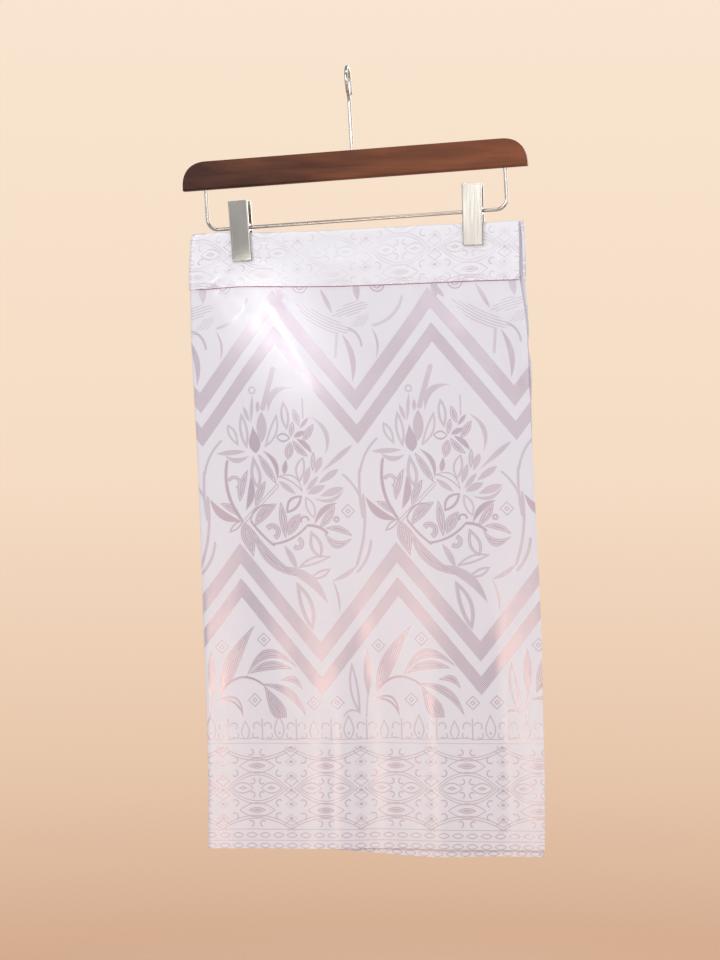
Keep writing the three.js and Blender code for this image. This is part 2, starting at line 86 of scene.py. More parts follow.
@dataclass(frozen=True)
class Term:
    """A value that changes over the surface, which arithmetic can be done on."""

    draft: "Draft"
    socket: bpy.types.NodeSocket

    def __add__(self, other: "Number") -> "Term":
        """The sum."""
        return self.draft.math("ADD", self, other)

    def __sub__(self, other: "Number") -> "Term":
        """The difference."""
        return self.draft.math("SUBTRACT", self, other)

    def __rsub__(self, other: "Number") -> "Term":
        """The difference, the other way round."""
        return self.draft.math("SUBTRACT", other, self)

    def __mul__(self, other: "Number") -> "Term":
        """The product."""
        return self.draft.math("MULTIPLY", self, other)

    def __abs__(self) -> "Term":
        """The size, without its sign."""
        return self.draft.math("ABSOLUTE", self)

    def times_plus(self, factor: "Number", addend: "Number") -> "Term":
        """This value times a factor, plus an addend."""
        return self.draft.math("MULTIPLY_ADD", self, factor, addend)

    def least(self, other: "Number") -> "Term":
        """The smaller of two values."""
        return self.draft.math("MINIMUM", self, other)

    def most(self, other: "Number") -> "Term":
        """The larger of two values."""
        return self.draft.math("MAXIMUM", self, other)

    def below(self, limit: "Number") -> "Term":
        """One where the value is under a limit, and nought elsewhere."""
        return self.draft.math("LESS_THAN", self, limit)

    def within(self, low: float, high: float) -> "Term":
        """The value wrapped round into a range."""
        return self.draft.math("WRAP", self, high, low)

    def folded(self, reach: float) -> "Term":
        """The value folded to and fro between nought and a reach."""
        return self.draft.math("PINGPONG", self, reach)

    def wave(self, length: float) -> "Term":
        """A wave of that length along the value."""
        return self.draft.math("SINE", self * (TURN / length))

    def share(self) -> "Term":
        """The value kept between nought and one."""
        return self.draft.math("ADD", self, 0.0, clamp=True)


Number = Union[Term, float]


class Draft:
    """Writes arithmetic into one node tree."""

    def __init__(self, tree: bpy.types.NodeTree) -> None:
        """Start writing in a tree."""
        self.tree = tree

    def node(self, kind: str, **settings: object) -> bpy.types.Node:
        """Add a node of a kind, with its properties by name."""
        node = self.tree.nodes.new(kind)
        for name, value in settings.items():
            setattr(node, name, value)
        return node

    def fill(self, node: bpy.types.Node, values: dict[str, object]) -> bpy.types.Node:
        """Give a node's inputs their values by name."""
        for name, value in values.items():
            self.feed(node.inputs[name], value)
        return node

    def feed(self, socket: bpy.types.NodeSocket, value: object) -> None:
        """Give a socket a value, a term or another socket."""
        if isinstance(value, Term):
            self.tree.links.new(value.socket, socket)
        elif isinstance(value, bpy.types.NodeSocket):
            self.tree.links.new(value, socket)
        else:
            socket.default_value = value

    def math(self, operation: str, *values: Number, clamp: bool = False) -> Term:
        """Do one operation on its inputs, and keep the result between nought and one on a clamp."""
        node = self.node("ShaderNodeMath", operation=operation, use_clamp=clamp)
        for socket, value in zip(node.inputs, values):
            self.feed(socket, value)
        return Term(self, node.outputs[0])

    def parts(self, vector: bpy.types.NodeSocket) -> tuple[Term, Term, Term]:
        """The three parts of a vector."""
        node = self.node("ShaderNodeSeparateXYZ")
        self.feed(node.inputs[0], vector)
        return tuple(Term(self, socket) for socket in node.outputs)

    def scaled(self, vector: bpy.types.NodeSocket, scale: Sequence[float]) -> bpy.types.Node:
        """A mapping that scales a vector."""
        return self.fill(self.node("ShaderNodeMapping"), {"Vector": vector, "Scale": scale})

    def noise(self, at: bpy.types.NodeSocket, scale: object, detail: float = 2.0, warp: float = 0.0) -> Term:
        """A cloudy value between nought and one."""
        node = self.node("ShaderNodeTexNoise")
        self.fill(node, {"Vector": at, "Scale": scale, "Detail": detail, "Distortion": warp})
        return Term(self, node.outputs["Fac"])

    def blend(self, share: Number, first: object, second: object) -> bpy.types.NodeSocket:
        """Mix two colours, with a share of the second."""
        node = self.node("ShaderNodeMix", data_type="RGBA")
        self.feed(node.inputs["Factor"], share)
        self.feed(node.inputs[6], first)
        self.feed(node.inputs[7], second)
        return node.outputs[2]


class EffectGroup:
    """A shader node group with named inputs and outputs, which materials share."""

    def __init__(self, name: str, inputs: Sequence[tuple[str, str]], outputs: Sequence[str]) -> None:
        """Open a new group.

        Args:
            name: The group's name.
            inputs: Pairs of a name and a socket kind.
            outputs: The names of its values.
        """
        self.tree = bpy.data.node_groups.new(name, "ShaderNodeTree")
        for label, kind in inputs:
            self.tree.interface.new_socket(label, in_out="INPUT", socket_type=f"NodeSocket{kind}")
        for label in outputs:
            self.tree.interface.new_socket(label, in_out="OUTPUT", socket_type="NodeSocketFloat")
        self.draft = Draft(self.tree)
        self.entry = self.draft.node("NodeGroupInput")
        self.exit = self.draft.node("NodeGroupOutput")

    def given(self, label: str) -> Term:
        """One of the group's inputs."""
        return Term(self.draft, self.entry.outputs[label])

    def place(self) -> tuple[Term, Term]:
        """The place on the cloth in millimetres, across and down."""
        across, down, _ = self.draft.parts(self.entry.outputs["Place"])
        return across * (1 / MM), down * (1 / MM)

    def put(self, label: str, value: Term) -> None:
        """Send a value out of the group."""
        self.draft.feed(self.exit.inputs[label], value)


# ---- woven motifs ------------------------------------------------------------------------------


class Weave(Enum):
    """How a woven figure is filled."""

    PALE = "pale"
    SOLID = "solid"
    LINED = "lined"
    DOTTED = "dotted"


PALE, SOLID, LINED, DOTTED = Weave


@dataclass(frozen=True)
class Leaf:
    """A leaf, petal, stem or vine, in cloth millimetres.

    foot and tip are its ends, half its half width and bend how far it bows to the right on the
    way up. A fat leaf is wider near its foot, or near its tip below nought. A wall above nought
    leaves the leaf hollow, an even one keeps its width and a combed one is only lines of a pitch.
    """

    foot: Place
    tip: Place
    half: float
    bend: float = 0.0
    fat: float = 0.0
    wall: float = 0.0
    even: bool = False
    comb: float = 0.0
    weave: Weave = LINED

    def depth(self, across: Term, down: Term) -> Term:
        """How deep inside the leaf a place is, in millimetres, below nought outside."""
        run, fall = self.tip[0] - self.foot[0], self.tip[1] - self.foot[1]
        length = math.hypot(run, fall)
        ex, ey = run / length, fall / length
        along = across.times_plus(ex / length, -(self.foot[0] * ex + self.foot[1] * ey) / length)
        along = down.times_plus(ey / length, along)
        aside = across.times_plus(-ey, self.foot[0] * ey - self.foot[1] * ex)
        aside = down.times_plus(ex, aside)
        bell = along - along * along
        if self.bend:
            aside = bell.times_plus(-4 * self.bend, aside)
        if self.even:
            half = (bell * (24 * self.half)).least(self.half)
        else:
            half = bell * (4 * self.half)
        if self.fat:
            half = half * along.times_plus(-2 * self.fat, 1 + self.fat).most(0.05)
        inside = half - abs(aside)
        if self.wall:
            inside = inside.least(self.wall - inside)
        if self.comb:
            inside = inside.least(0.24 * self.comb - abs(aside.within(-self.comb / 2, self.comb / 2)))
        return inside


@dataclass(frozen=True)
class Ring:
    """A ring or curl, or a disc where its radius is nought; open_at leaves out one side."""

    middle: Place
    radius: float
    half: float
    open_at: Optional[Place] = None
    weave: Weave = SOLID

    def depth(self, across: Term, down: Term) -> Term:
        """How deep inside the ring's line a place is, in millimetres, below nought outside."""
        x = across - self.middle[0]
        y = down - self.middle[1]
        away = (y.times_plus(y, x * x)).draft.math("SQRT", y.times_plus(y, x * x))
        inside = self.half - abs(away - self.radius) if self.radius else self.half - away
        if self.open_at:
            reach = math.hypot(*self.open_at)
            gap = x.times_plus(-self.open_at[0] / reach, 0.35 * self.radius)
            inside = inside.least(y.times_plus(-self.open_at[1] / reach, gap))
        return inside


@dataclass(frozen=True)
class Lozenge:
    """A small lozenge of two outlines and a dot."""

    middle: Place
    reach: float = 8.0
    weave: Weave = SOLID

    def depth(self, across: Term, down: Term) -> Term:
        """How deep inside the lozenge's lines a place is, in millimetres, below nought outside."""
        away = abs(across - self.middle[0]) + abs(down - self.middle[1])
        lines = 0.85 - (away - 6.8).folded(2.3)
        return lines.least(self.reach - away)


Motif = Union[Leaf, Ring, Lozenge]


class Sampler:
    """Gathers motifs into one depth for each weave, and turns the depths into figures."""

    SOFT = 0.45
    LINE_PITCH = 2.3
    DOT_PITCH = 2.1

    def __init__(self, across: Term, down: Term) -> None:
        """Start at a place on the cloth."""
        self.across = across
        self.down = down
        self.depths: dict[Weave, Term] = {}

    def add(self, depth: Term, weave: Weave) -> None:
        """Take in a shape by its depth."""
        self.depths[weave] = self.depths[weave].most(depth) if weave in self.depths else depth

    def draw(self, motifs: Sequence[Motif]) -> None:
        """Take in motifs one after another."""
        for motif in motifs:
            self.add(motif.depth(self.across, self.down), motif.weave)

    def solidity(self, depth: Term, strength: float) -> Term:
        """A figure's mask from its depth, soft at the edge."""
        return depth.draft.math("MULTIPLY", depth, 1 / self.SOFT, clamp=True) * strength

    def figure(self) -> Term:
        """The share of figure thread at the place, from all that was drawn."""
        shares = {PALE: 0.56, SOLID: 0.82, LINED: 0.9, DOTTED: 0.95}
        total: Optional[Term] = None
        for weave, depth in self.depths.items():
            mask = self.solidity(depth, shares[weave])
            if weave is LINED:
                mask = mask * depth.wave(self.LINE_PITCH).times_plus(0.36, 0.66)
            if weave is DOTTED:
                dots = self.across.wave(self.DOT_PITCH) * self.down.wave(self.DOT_PITCH)
                mask = mask * dots.times_plus(0.42, 0.62)
            total = total.most(mask) if total else mask
        return total


# ---- the charts, in cloth millimetres across from the left fold and down from the band's seam ----

REPEAT = 165.5

# Each window is where the repeat of a chart starts across, so that no motif is cut.

LOTUS: tuple[Motif, ...] = (
    Ring((59.3, 106.5), 3.2, 1.0, weave=PALE),
    Leaf((56.3, 141), (59.6, 110), 2.0, weave=PALE),
    Leaf((55, 139.5), (48.6, 122), 2.4, weave=PALE),
    Leaf((64.2, 130), (64.9, 117), 2.4, weave=DOTTED),
    Leaf((69, 128), (84, 82), 2.9, even=True, weave=PALE),
    Leaf((75.6, 130), (105, 104), 3.6, bend=-11, fat=0.3, weave=PALE),
    Leaf((60.4, 171.5), (58, 141), 5.6, fat=0.9, weave=SOLID),
    Leaf((50.8, 167), (46, 128.5), 5.0, wall=3.2, weave=PALE),
    Leaf((42.3, 164), (31, 140), 4.6, fat=-0.3, wall=2.8, weave=PALE),
    Leaf((49.8, 169), (17, 170), 2.9, weave=PALE),
    Leaf((53.6, 173), (26, 171), 2.8, bend=-6, weave=PALE),
    Leaf((67.2, 161), (68.4, 128), 5.8, weave=DOTTED),
    Leaf((69.6, 166), (84.6, 130), 4.8, bend=3, wall=2.6, weave=PALE),
    Leaf((56.8, 173), (61, 208), 6.0, fat=-0.4, wall=4.0, weave=PALE),
    Leaf((62.4, 171.5), (81.4, 203.5), 4.0),
    Leaf((66.6, 168), (81.8, 200), 2.7, bend=-6.6, weave=SOLID),
)

SMALL_FLOWER: tuple[Motif, ...] = (
    Leaf((98.3, 154.6), (101.5, 138), 3.0),
    Leaf((94.8, 148), (92, 117), 4.9, wall=3.0, weave=DOTTED),
    Leaf((98.2, 155.4), (82.6, 154.6), 5.0, wall=2.3),
    Leaf((98, 159.4), (94, 178), 4.8),
    Leaf((100.2, 157.6), (116, 174.6), 3.6, bend=1.6),
    Leaf((104, 156), (120.6, 171.4), 3.0, bend=-1.8, weave=SOLID),
    Leaf((101.3, 154.6), (114.2, 148.2), 3.0, weave=SOLID),
    Leaf((110.8, 159.4), (123.6, 140.6), 4.0),
    Leaf((108.4, 145.8), (118.4, 134), 2.3, weave=SOLID),
    Leaf((108, 143.4), (102.6, 125), 3.6),
    Leaf((112.5, 136), (112.9, 114), 1.0, even=True, weave=DOTTED),
    Leaf((133.5, 174), (119.4, 133), 2.6, bend=10, weave=PALE),
    Leaf((89.4, 193), (92.6, 176.6), 2.9, fat=0.5, weave=SOLID),
    Leaf((120, 190), (121.8, 169), 2.7),
)

PALE_FLOWER: tuple[Motif, ...] = (
    Leaf((108.6, 212), (81.6, 195.4), 3.8, bend=7, wall=1.6, weave=SOLID),
    Leaf((101.6, 213.4), (83, 199.2), 3.1, weave=PALE),
    Leaf((108, 214.4), (90.6, 233), 6.4, bend=1.4, wall=3.2, weave=SOLID),
    Leaf((111.2, 215.4), (119.6, 238.6), 5.2, bend=-1, wall=2.4, weave=PALE),
    Leaf((105.8, 201), (110.8, 174.4), 5.6, bend=-1.4, wall=2.8, weave=PALE),
    Leaf((110, 205), (117.4, 184), 3.4, weave=PALE),
    Leaf((122.2, 193), (130, 174.4), 3.5, fat=-0.5, weave=PALE),
    Leaf((124.6, 194), (164, 162), 2.6, fat=-0.8, weave=PALE),
    Leaf((112.2, 210), (126.2, 194), 2.8, weave=PALE),
    Leaf((125.2, 202.4), (147.6, 187.4), 3.6, fat=-0.3, weave=PALE),
    Leaf((113.2, 212.8), (133, 204.2), 4.0, weave=PALE),
    Leaf((126.4, 215.4), (152, 206.6), 4.2, fat=-0.2, weave=PALE),
    Leaf((119.2, 216.6), (153, 207), 2.2, bend=8, weave=PALE),
)

LEAF_CLUSTER: tuple[Motif, ...] = (
    Leaf((43, 240.6), (29.4, 175.5), 1.9, bend=-8, even=True, weave=SOLID),
    Ring((35.2, 201), 6.0, 1.9, open_at=(-1, 1), weave=LINED),
    Leaf((40.6, 220.8), (51, 187.4), 4.2, bend=-2, fat=0.2),
    Leaf((46.6, 230), (53.2, 194.6), 4.0, bend=3.4, weave=SOLID),
    Leaf((57, 225.6), (69.6, 199.4), 4.2, bend=-1),
    Leaf((42.6, 243.2), (83.6, 202.8), 2.1, wall=1.25, even=True, weave=SOLID),
    Leaf((42, 240.6), (8.6, 216), 4.5, bend=-6, weave=SOLID),
    Leaf((40.4, 235.6), (19.6, 221), 3.9, bend=1.8),
    Leaf((43.8, 239), (27.8, 251.8), 3.4, wall=1.9, weave=SOLID),
    Leaf((43.6, 241.4), (53.4, 278.4), 7.0, bend=-0.6, fat=0.5),
    Leaf((51, 239.6), (77, 266.8), 1.4, bend=1.6, even=True, weave=SOLID),
    Leaf((71.6, 264.8), (112, 245.4), 1.4, bend=4.6, even=True, weave=SOLID),
    Leaf((51.2, 241), (74, 224.4), 1.2, bend=-6.4, even=True, weave=SOLID),
    Leaf((55.8, 246.4), (80.6, 222.8), 5.8, bend=-3),
    Ring((74.6, 252), 6.2, 2.9, open_at=(-1, 0.8), weave=LINED),
    Leaf((88.6, 259), (84.6, 220.4), 4.3),
    Leaf((91.6, 256), (105.6, 233), 6.0, bend=-1.4),
    Ring((109.6, 240.2), 4.0, 1.3, open_at=(0.2, 1)),
    Ring((101, 263.6), 4.8, 2.5, open_at=(-1, -0.6), weave=LINED),
    Leaf((115.4, 250.4), (124.8, 279), 6.6, fat=-0.25, wall=3.4),
    Leaf((119.4, 245), (145, 222), 3.2, bend=-4.6, weave=SOLID),
    Leaf((124.8, 248), (142, 224.6), 4.4, bend=1),
    Ring((142.9, 239.2), 2.2, 1.4, weave=LINED),
    Leaf((110.6, 245.4), (134, 254), 1.7, bend=-3, even=True, weave=SOLID),
    Leaf((130.4, 248.4), (159, 257), 3.4, bend=-3.4),
    Leaf((129, 251.2), (159, 258.4), 4.3, bend=10.5),
    Lozenge((155.3, 230.8)),
)

RIBBONS: tuple[Motif, ...] = (
    Leaf((53.4, 249), (101, 298), 5.6, bend=8.4),
    Leaf((80, 287.6), (131, 327), 5.4, bend=-9, weave=PALE),
    Leaf((99.8, 291.6), (86.4, 265.4), 3.4, bend=1, weave=PALE),
    Leaf((100, 289.4), (136.6, 277.4), 4.3, bend=-2, wall=2.6, weave=PALE),
    Leaf((112.6, 299.8), (135.4, 289.6), 4.4, bend=1, wall=2.8, weave=PALE),
    Leaf((98, 303), (113.4, 356), 7.6, bend=-3, wall=4.6, weave=PALE),
    Leaf((135.6, 300), (142.6, 338), 1.5, bend=-2.5, weave=PALE),
)

VINES: tuple[Motif, ...] = (
    Leaf((4.2, 192), (25, 155.6), 1.5, bend=-4, even=True, weave=PALE),
    Leaf((169.7, 192), (190.5, 155.6), 1.5, bend=-4, even=True, weave=PALE),
    Leaf((171.2, 240), (169.6, 186), 1.6, bend=-2, even=True, weave=PALE),
    Leaf((172.2, 242), (150.2, 192), 1.5, bend=7, even=True, weave=PALE),
    Leaf((171.6, 212), (160.8, 290), 1.7, bend=-5.2, even=True, weave=PALE),
    Leaf((163, 286.4), (135.4, 302.8), 2.6, bend=-2, weave=PALE),
    Leaf((161.6, 294.8), (178.2, 260), 1.8, bend=3.6, even=True, weave=PALE),
    Leaf((-3.9, 294.8), (12.7, 260), 1.8, bend=3.6, even=True, weave=PALE),
)

SPRAY_WINDOW = 9.0

TOP_SPRAY: tuple[Motif, ...] = (
    Leaf((110, 17), (172, 47), 8.0, bend=5.2, comb=2.9, weave=SOLID),
    Leaf((163.6, 42.6), (178, 63), 1.5, bend=-4, even=True, weave=SOLID),
    Leaf((148, 31), (191, 19), 6.4, bend=-1.4, comb=2.7, weave=SOLID),
    Leaf((168, 41.6), (189, 29), 5.0, bend=1, comb=2.2, weave=SOLID),
    Leaf((23.6, 41.6), (59, 11), 1.9, bend=7, even=True, weave=PALE),
    Leaf((22.4, 42), (26.6, 76), 1.5, bend=-4.6, weave=SOLID),
    Leaf((152.6, 47), (149.6, 74), 1.7, even=True, weave=DOTTED),
    Leaf((157, 48), (166, 100), 3.3, bend=-6, weave=SOLID),
    Leaf((137.6, 2), (149, 28.6), 2.6, weave=SOLID),
    Leaf((90, 0), (103.4, 15.4), 3.0, weave=SOLID),
)

TOP_WINDOW = 22.0

LOW_LEAVES: tuple[Motif, ...] = (
    Leaf((3.8, 423), (4.2, 371.6), 4.4, weave=DOTTED),
    Leaf((0.8, 450), (3.8, 416), 1.0, even=True, weave=DOTTED),
    Leaf((12.6, 419), (53, 347), 7.2, bend=-4.4, fat=0.55),
    Leaf((12, 417.6), (61, 411.4), 1.5, bend=-12.5, even=True, weave=SOLID),
    Leaf((40.6, 402.6), (97, 392.6), 5.0, bend=-20),
    Leaf((44, 399), (91, 393.6), 4.8, bend=-6.4),
    Leaf((77.4, 405.6), (100.8, 415), 3.6, bend=-6.6),
    Leaf((56.8, 409.4), (104, 443), 4.3, bend=-10),
    Leaf((59, 409), (82, 450), 7.4, fat=-0.7),
    Leaf((6.4, 426), (36.2, 444.6), 3.7, bend=-11.4, wall=2.6, weave=SOLID),
    Leaf((160.8, 442), (153.2, 386), 4.8, bend=-2, wall=2.6, weave=PALE),
    Leaf((143, 444), (160.8, 439.6), 1.2, bend=-5.4, even=True, weave=PALE),
    Lozenge((15.9, 369.7)),
    Lozenge((61.3, 363.1)),
    Lozenge((49.2, 425.6)),
    Lozenge((112.6, 428.9)),
    Lozenge((137.2, 428.3)),
)

SEAM_MOTIFS: tuple[Motif, ...] = (
    Leaf((8.5, -8), (9, 16), 4.0, weave=DOTTED),
    Ring((31, -1.0), 7.6, 1.0),
    Ring((31, -1.0), 4.2, 0.9),
)

LOW_LEAF_FOOT = 444.0
LOW_LEAF_WINDOW = -1.5


@dataclass(frozen=True)
class Zigzag:
    """The pair of bands that run to and fro across the cloth, a plain one over a dotted one."""

    first_low: float = 121.7
    low: float = 365.5
    rise: float = 102.5
    plain_width: float = 21.5
    dotted_start: float = 36.0
    dotted_width: float = 20.0
    lift: float = 259.2
    shift: float = 47.3
    clear: float = 1.5

    def drop(self, across: Term, down: Term) -> Term:
        """How far a place is below the zigzag's upper edge, in millimetres."""
        half = REPEAT / 2
        to_low = (across - self.first_low).folded(half)
        return to_low.times_plus(self.rise / half, down - self.low)

    def draw(self, pen: Sampler, drop: Term) -> None:
        """Draw the plain band and the dotted one."""
        plain, dotted = self.plain_width / 2, self.dotted_width / 2
        pen.add(plain - abs(drop - plain), PALE)
        pen.add(dotted - abs(drop - (self.dotted_start + dotted)), DOTTED)

    @property
    def whole(self) -> float:
        """The height of both bands and the gap between them."""
        return self.dotted_start + self.dotted_width

    @property
    def parting(self) -> float:
        """The middle of the gap between the bands."""
        return (self.plain_width + self.dotted_start) / 2

    def parting_at(self, across: np.ndarray) -> np.ndarray:
        """How far down the parting is at places across, in millimetres."""
        half = REPEAT / 2
        to_low = np.abs((across - self.first_low + half) % REPEAT - half)
        return self.low - self.rise * to_low / half + self.parting


ZIGZAG = Zigzag()


@dataclass(frozen=True)
class Border:
    """The network of eyes, diamonds and curls along the hem, which the band is cut from too."""

    period: float = 73.6
    column: float = 12.6
    middle: float = 517.0
    top: float = 468.8
    bottom: float = 560.0
    crown_column: float = 1.1
    oval_period: float = 14.5

    def network(self, pen: Sampler, across: Term, down: Term) -> None:
        """Draw the network about its middle line."""
        half = self.period / 2
        from_column = abs(across.within(-half, half))
        from_eye = half - from_column
        rise = abs(down)
        arch = from_eye * from_eye
        # Double arches over the eye, and double bows that come down between them.
        for reach, height in ((31.0, 15.0), (36.8, -11.0)):
            curve = arch.times_plus(-height / reach**2, height if height > 0 else 30.0)
            pen.add(0.7 - abs(abs(rise - curve) - 1.5), SOLID)
        # A small eye above and below each large one.
        second = abs(rise - 23.0)
        lens = arch.times_plus(-7.4 / 19.0**2, 7.4)
        pen.add(0.75 - abs(second - lens), SOLID)
        kernel = arch.times_plus(-3.2 / 10.0**2, 3.2)
        pen.add(kernel - second, LINED)
        # The two irises of the middle line.
        inner = from_eye - 15.5
        iris = (inner * inner).times_plus(-5.4 / 11.0**2, 5.4)
        pen.add(0.8 - abs(rise - iris), SOLID)
        pen.add(2.2 - (abs(inner) * 0.4 + rise), LINED)
        # The column of outlined diamonds, and two larger outlines on it.
        step = (down + 42).folded(7.35)
        across_step = from_column * 0.72
        pen.add(2.2 - (step + across_step), SOLID)
        pen.add(0.55 - abs(step + across_step - 4.3), SOLID)
        for height, reach in ((38.0, 5.4), (7.3, 5.2)):
            pen.add(0.75 - abs(abs(rise - height) + across_step - reach), SOLID)
        for x, y, radius in ((24.0, 15.6, 3.4), (24.0, 29.4, 3.4), (5.4, 7.0, 2.9), (6.6, 37.0, 3.0)):
            curl = Ring((x, y), radius, 0.85, open_at=(1, 0.5))
            pen.add(curl.depth(from_eye, rise), SOLID)

    def ovals(self, pen: Sampler, across: Term, down: Term) -> None:
        """Draw the rules and the rows of ovals by the hem."""
        x = across.within(-self.oval_period / 2, self.oval_period / 2)
        for height, line in ((self.top - 1.2, 0.5), (self.top + 1.8, 0.5), (self.bottom, 0.6), (571.6, 0.5)):
            pen.add(line - abs(down - height), SOLID)
        lens = (x * x).times_plus(-2.4 / 5.6**2, 2.4)
        for height in (566.0, 577.0):
            pen.add(0.8 - abs(abs(down - height) - lens), SOLID)

    def crown(self, pen: Sampler, across: Term, down: Term) -> None:
        """Draw the row of drops, posts and curls on top of the border."""
        half = self.period / 2
        x = abs((across - self.crown_column).within(-half, half))
        shapes: tuple[Motif, ...] = (
            Leaf((0, 467), (0, 439.5), 5.6, fat=0.55, wall=2.0, weave=PALE),
            Ring((0, 460), 0, 1.6, weave=PALE),
            Leaf((half, 467), (half, 445.5), 4.8, fat=0.55, wall=1.9, weave=PALE),
            Leaf((18.4, 468), (18.4, 444.4), 1.0, even=True, weave=PALE),
            Ring((12.6, 453.0), 3.8, 0.95, open_at=(0.5, 1), weave=PALE),
            Ring((24.2, 453.0), 3.8, 0.95, open_at=(-0.5, 1), weave=PALE),
            Ring((10.6, 462.4), 2.9, 0.9, open_at=(0.8, -1), weave=PALE),
            Ring((26.2, 462.4), 2.9, 0.9, open_at=(-0.8, -1), weave=PALE),
        )
        for shape in shapes:
            pen.add(shape.depth(x, down), shape.weave)
        scallop = (x - 9.2).folded(18.4)
        pen.add(0.6 - abs((scallop * scallop).times_plus(0.005, down - 466.4)), SOLID)


BORDER = Border()


class Cloth(Enum):
    """The stretches of the woven cloth, each with a figure group of its own."""

    FIGURED = "figured_ground"
    LEAVES = "leaf_row"
    BORDER = "hem_border"
    BAND = "band_border"


class FigureGroups:
    """Builds the figure groups once and hands them out."""

    SEAM_ROW = REPEAT / 2
    SWEEP_SHARE = 0.8

    def __init__(self) -> None:
        """Start with none built."""
        self.built: dict[Cloth, bpy.types.NodeTree] = {}

    def get(self, cloth: Cloth) -> bpy.types.NodeTree:
        """The group of one stretch of cloth, built at its first use."""
        if cloth not in self.built:
            group = EffectGroup(f"woven_{cloth.value}", [("Place", "Vector")], ["Figure"])
            across, down = group.place()
            makers = {
                Cloth.FIGURED: self.figured,
                Cloth.LEAVES: self.leaves,
                Cloth.BORDER: self.border,
                Cloth.BAND: self.band,
            }
            group.put("Figure", makers[cloth](across, down))
            self.built[cloth] = group.tree
        return self.built[cloth]

    def figured(self, across: Term, down: Term) -> Term:
        """Sprays between two zigzags, and sweeping leaves above the upper one."""
        upper = ZIGZAG.drop(across - ZIGZAG.shift, down + ZIGZAG.lift)
        lower = ZIGZAG.drop(across, down)
        above = upper.below(ZIGZAG.whole + ZIGZAG.clear)
        drop = (upper - lower).times_plus(above, lower)
        spray = Sampler(across.within(SPRAY_WINDOW, SPRAY_WINDOW + REPEAT), down)
        for part in (LOTUS, SMALL_FLOWER, PALE_FLOWER, LEAF_CLUSTER, RIBBONS, VINES):
            spray.draw(part)
        sweeps = Sampler(across.within(TOP_WINDOW, TOP_WINDOW + REPEAT), down)
        sweeps.draw(TOP_SPRAY)
        figure = spray.figure() * drop.below(-ZIGZAG.clear) * (1 - above)
        figure = figure.most(sweeps.figure() * upper.below(-ZIGZAG.clear) * self.SWEEP_SHARE)
        bands = Sampler(across, down)
        ZIGZAG.draw(bands, drop)
        figure = figure.most(bands.figure())
        seam = Sampler((across - 2).within(-self.SEAM_ROW / 2, self.SEAM_ROW / 2), down)
        seam.draw(SEAM_MOTIFS)
        return figure.most(seam.figure())

    def leaves(self, across: Term, down: Term) -> Term:
        """The row of leaves under the lower zigzag, and the crown of the border."""
        drop = ZIGZAG.drop(across, down)
        row = Sampler(across.within(LOW_LEAF_WINDOW, LOW_LEAF_WINDOW + REPEAT), down)
        row.draw(LOW_LEAVES)
        figure = row.figure() * (ZIGZAG.whole + 2 - drop).below(0) * down.below(LOW_LEAF_FOOT)
        bands = Sampler(across, down)
        ZIGZAG.draw(bands, drop)
        BORDER.crown(bands, across, down)
        return figure.most(bands.figure())

    def border(self, across: Term, down: Term) -> Term:
        """The network and the rows of ovals along the hem."""
        pen = Sampler(across, down)
        BORDER.network(pen, across - BORDER.column, down - BORDER.middle)
        figure = pen.figure() * abs(down - BORDER.middle - 0.5).below(44.5)
        rows = Sampler(across, down)
        BORDER.ovals(rows, across, down)
        return figure.most(rows.figure())

    def band(self, across: Term, down: Term) -> Term:
        """The same network on the waistband, set a little aside."""
        pen = Sampler(across, down)
        BORDER.network(pen, across - BORDER.column - 27.6, down + 35.0)
        x = across.within(-self.SEAM_ROW / 8, self.SEAM_ROW / 8)
        for radius in (2.6, 5.4):
            pen.add(Ring((0, -0.5), radius, 0.7).depth(x, down), SOLID)
        # The figure is fainter towards the middle of the band's front and stronger at its ends, and it comes
        # and goes in slanting waves.
        ends = abs(across.times_plus(1 / 110, -1.35)).share()
        figure_strength = ((across + down * 2).wave(67.0)).times_plus(0.2, 0.3) + ends * 0.5
        return pen.figure() * figure_strength.share()


# ---- surface effects ---------------------------------------------------------------------------


def weave_group() -> bpy.types.NodeTree:
    """Fine satin threads and faint crumples, as a height in millimetres."""
    inputs = [("Place", "Vector"), ("Threads", "Float"), ("Crumple", "Float")]
    group = EffectGroup("satin_weave", inputs, ["Height", "Cloudy"])
    across, down = group.place()
    floats = (across + down * 0.37).wave(1.3) * down.wave(0.55)
    cloud = group.draft.noise(group.entry.outputs["Place"], 38.0, 2.5)
    height = floats * group.given("Threads")
    group.put("Height", (cloud - 0.5).times_plus(group.given("Crumple"), height))
    group.put("Cloudy", cloud)
    return group.tree


def grain_group() -> bpy.types.NodeTree:
    """Long wood grain: a share of dark grain and a height of its pores."""
    group = EffectGroup("bar_grain", [("Along", "Vector"), ("Fineness", "Float")], ["Grain", "Pores"])
    draft = group.draft
    fineness = group.entry.outputs["Fineness"]
    stretch = draft.scaled(group.entry.outputs["Along"], (9.0, 60.0, 70.0))
    stretch.inputs["Rotation"].default_value = (0, -HANGER_TILT, 0)
    fibres = draft.scaled(stretch.outputs[0], (3.0, 9.0, 12.0))
    group.put("Grain", draft.noise(stretch.outputs[0], fineness, 6.0, 0.6))
    group.put("Pores", draft.noise(fibres.outputs[0], fineness, 3.0))
    return group.tree


def brush_group() -> bpy.types.NodeTree:
    """Fine upright brushing of a metal sheet, with faint clouding."""
    group = EffectGroup("brushing", [("At", "Vector"), ("Fineness", "Float")], ["Brushed", "Clouding"])
    draft = group.draft
    at = group.entry.outputs["At"]
    stretch = draft.scaled(at, (900.0, 900.0, 14.0))
    group.put("Brushed", draft.noise(stretch.outputs[0], group.entry.outputs["Fineness"]))
    group.put("Clouding", draft.noise(at, 45.0))
    return group.tree


class Effects:
    """The shared effect groups of the whole piece."""

    def __init__(self) -> None:
        """Build the groups."""
        self.figures = FigureGroups()
        self.weave = weave_group()
        self.grain = grain_group()
        self.brush = brush_group()


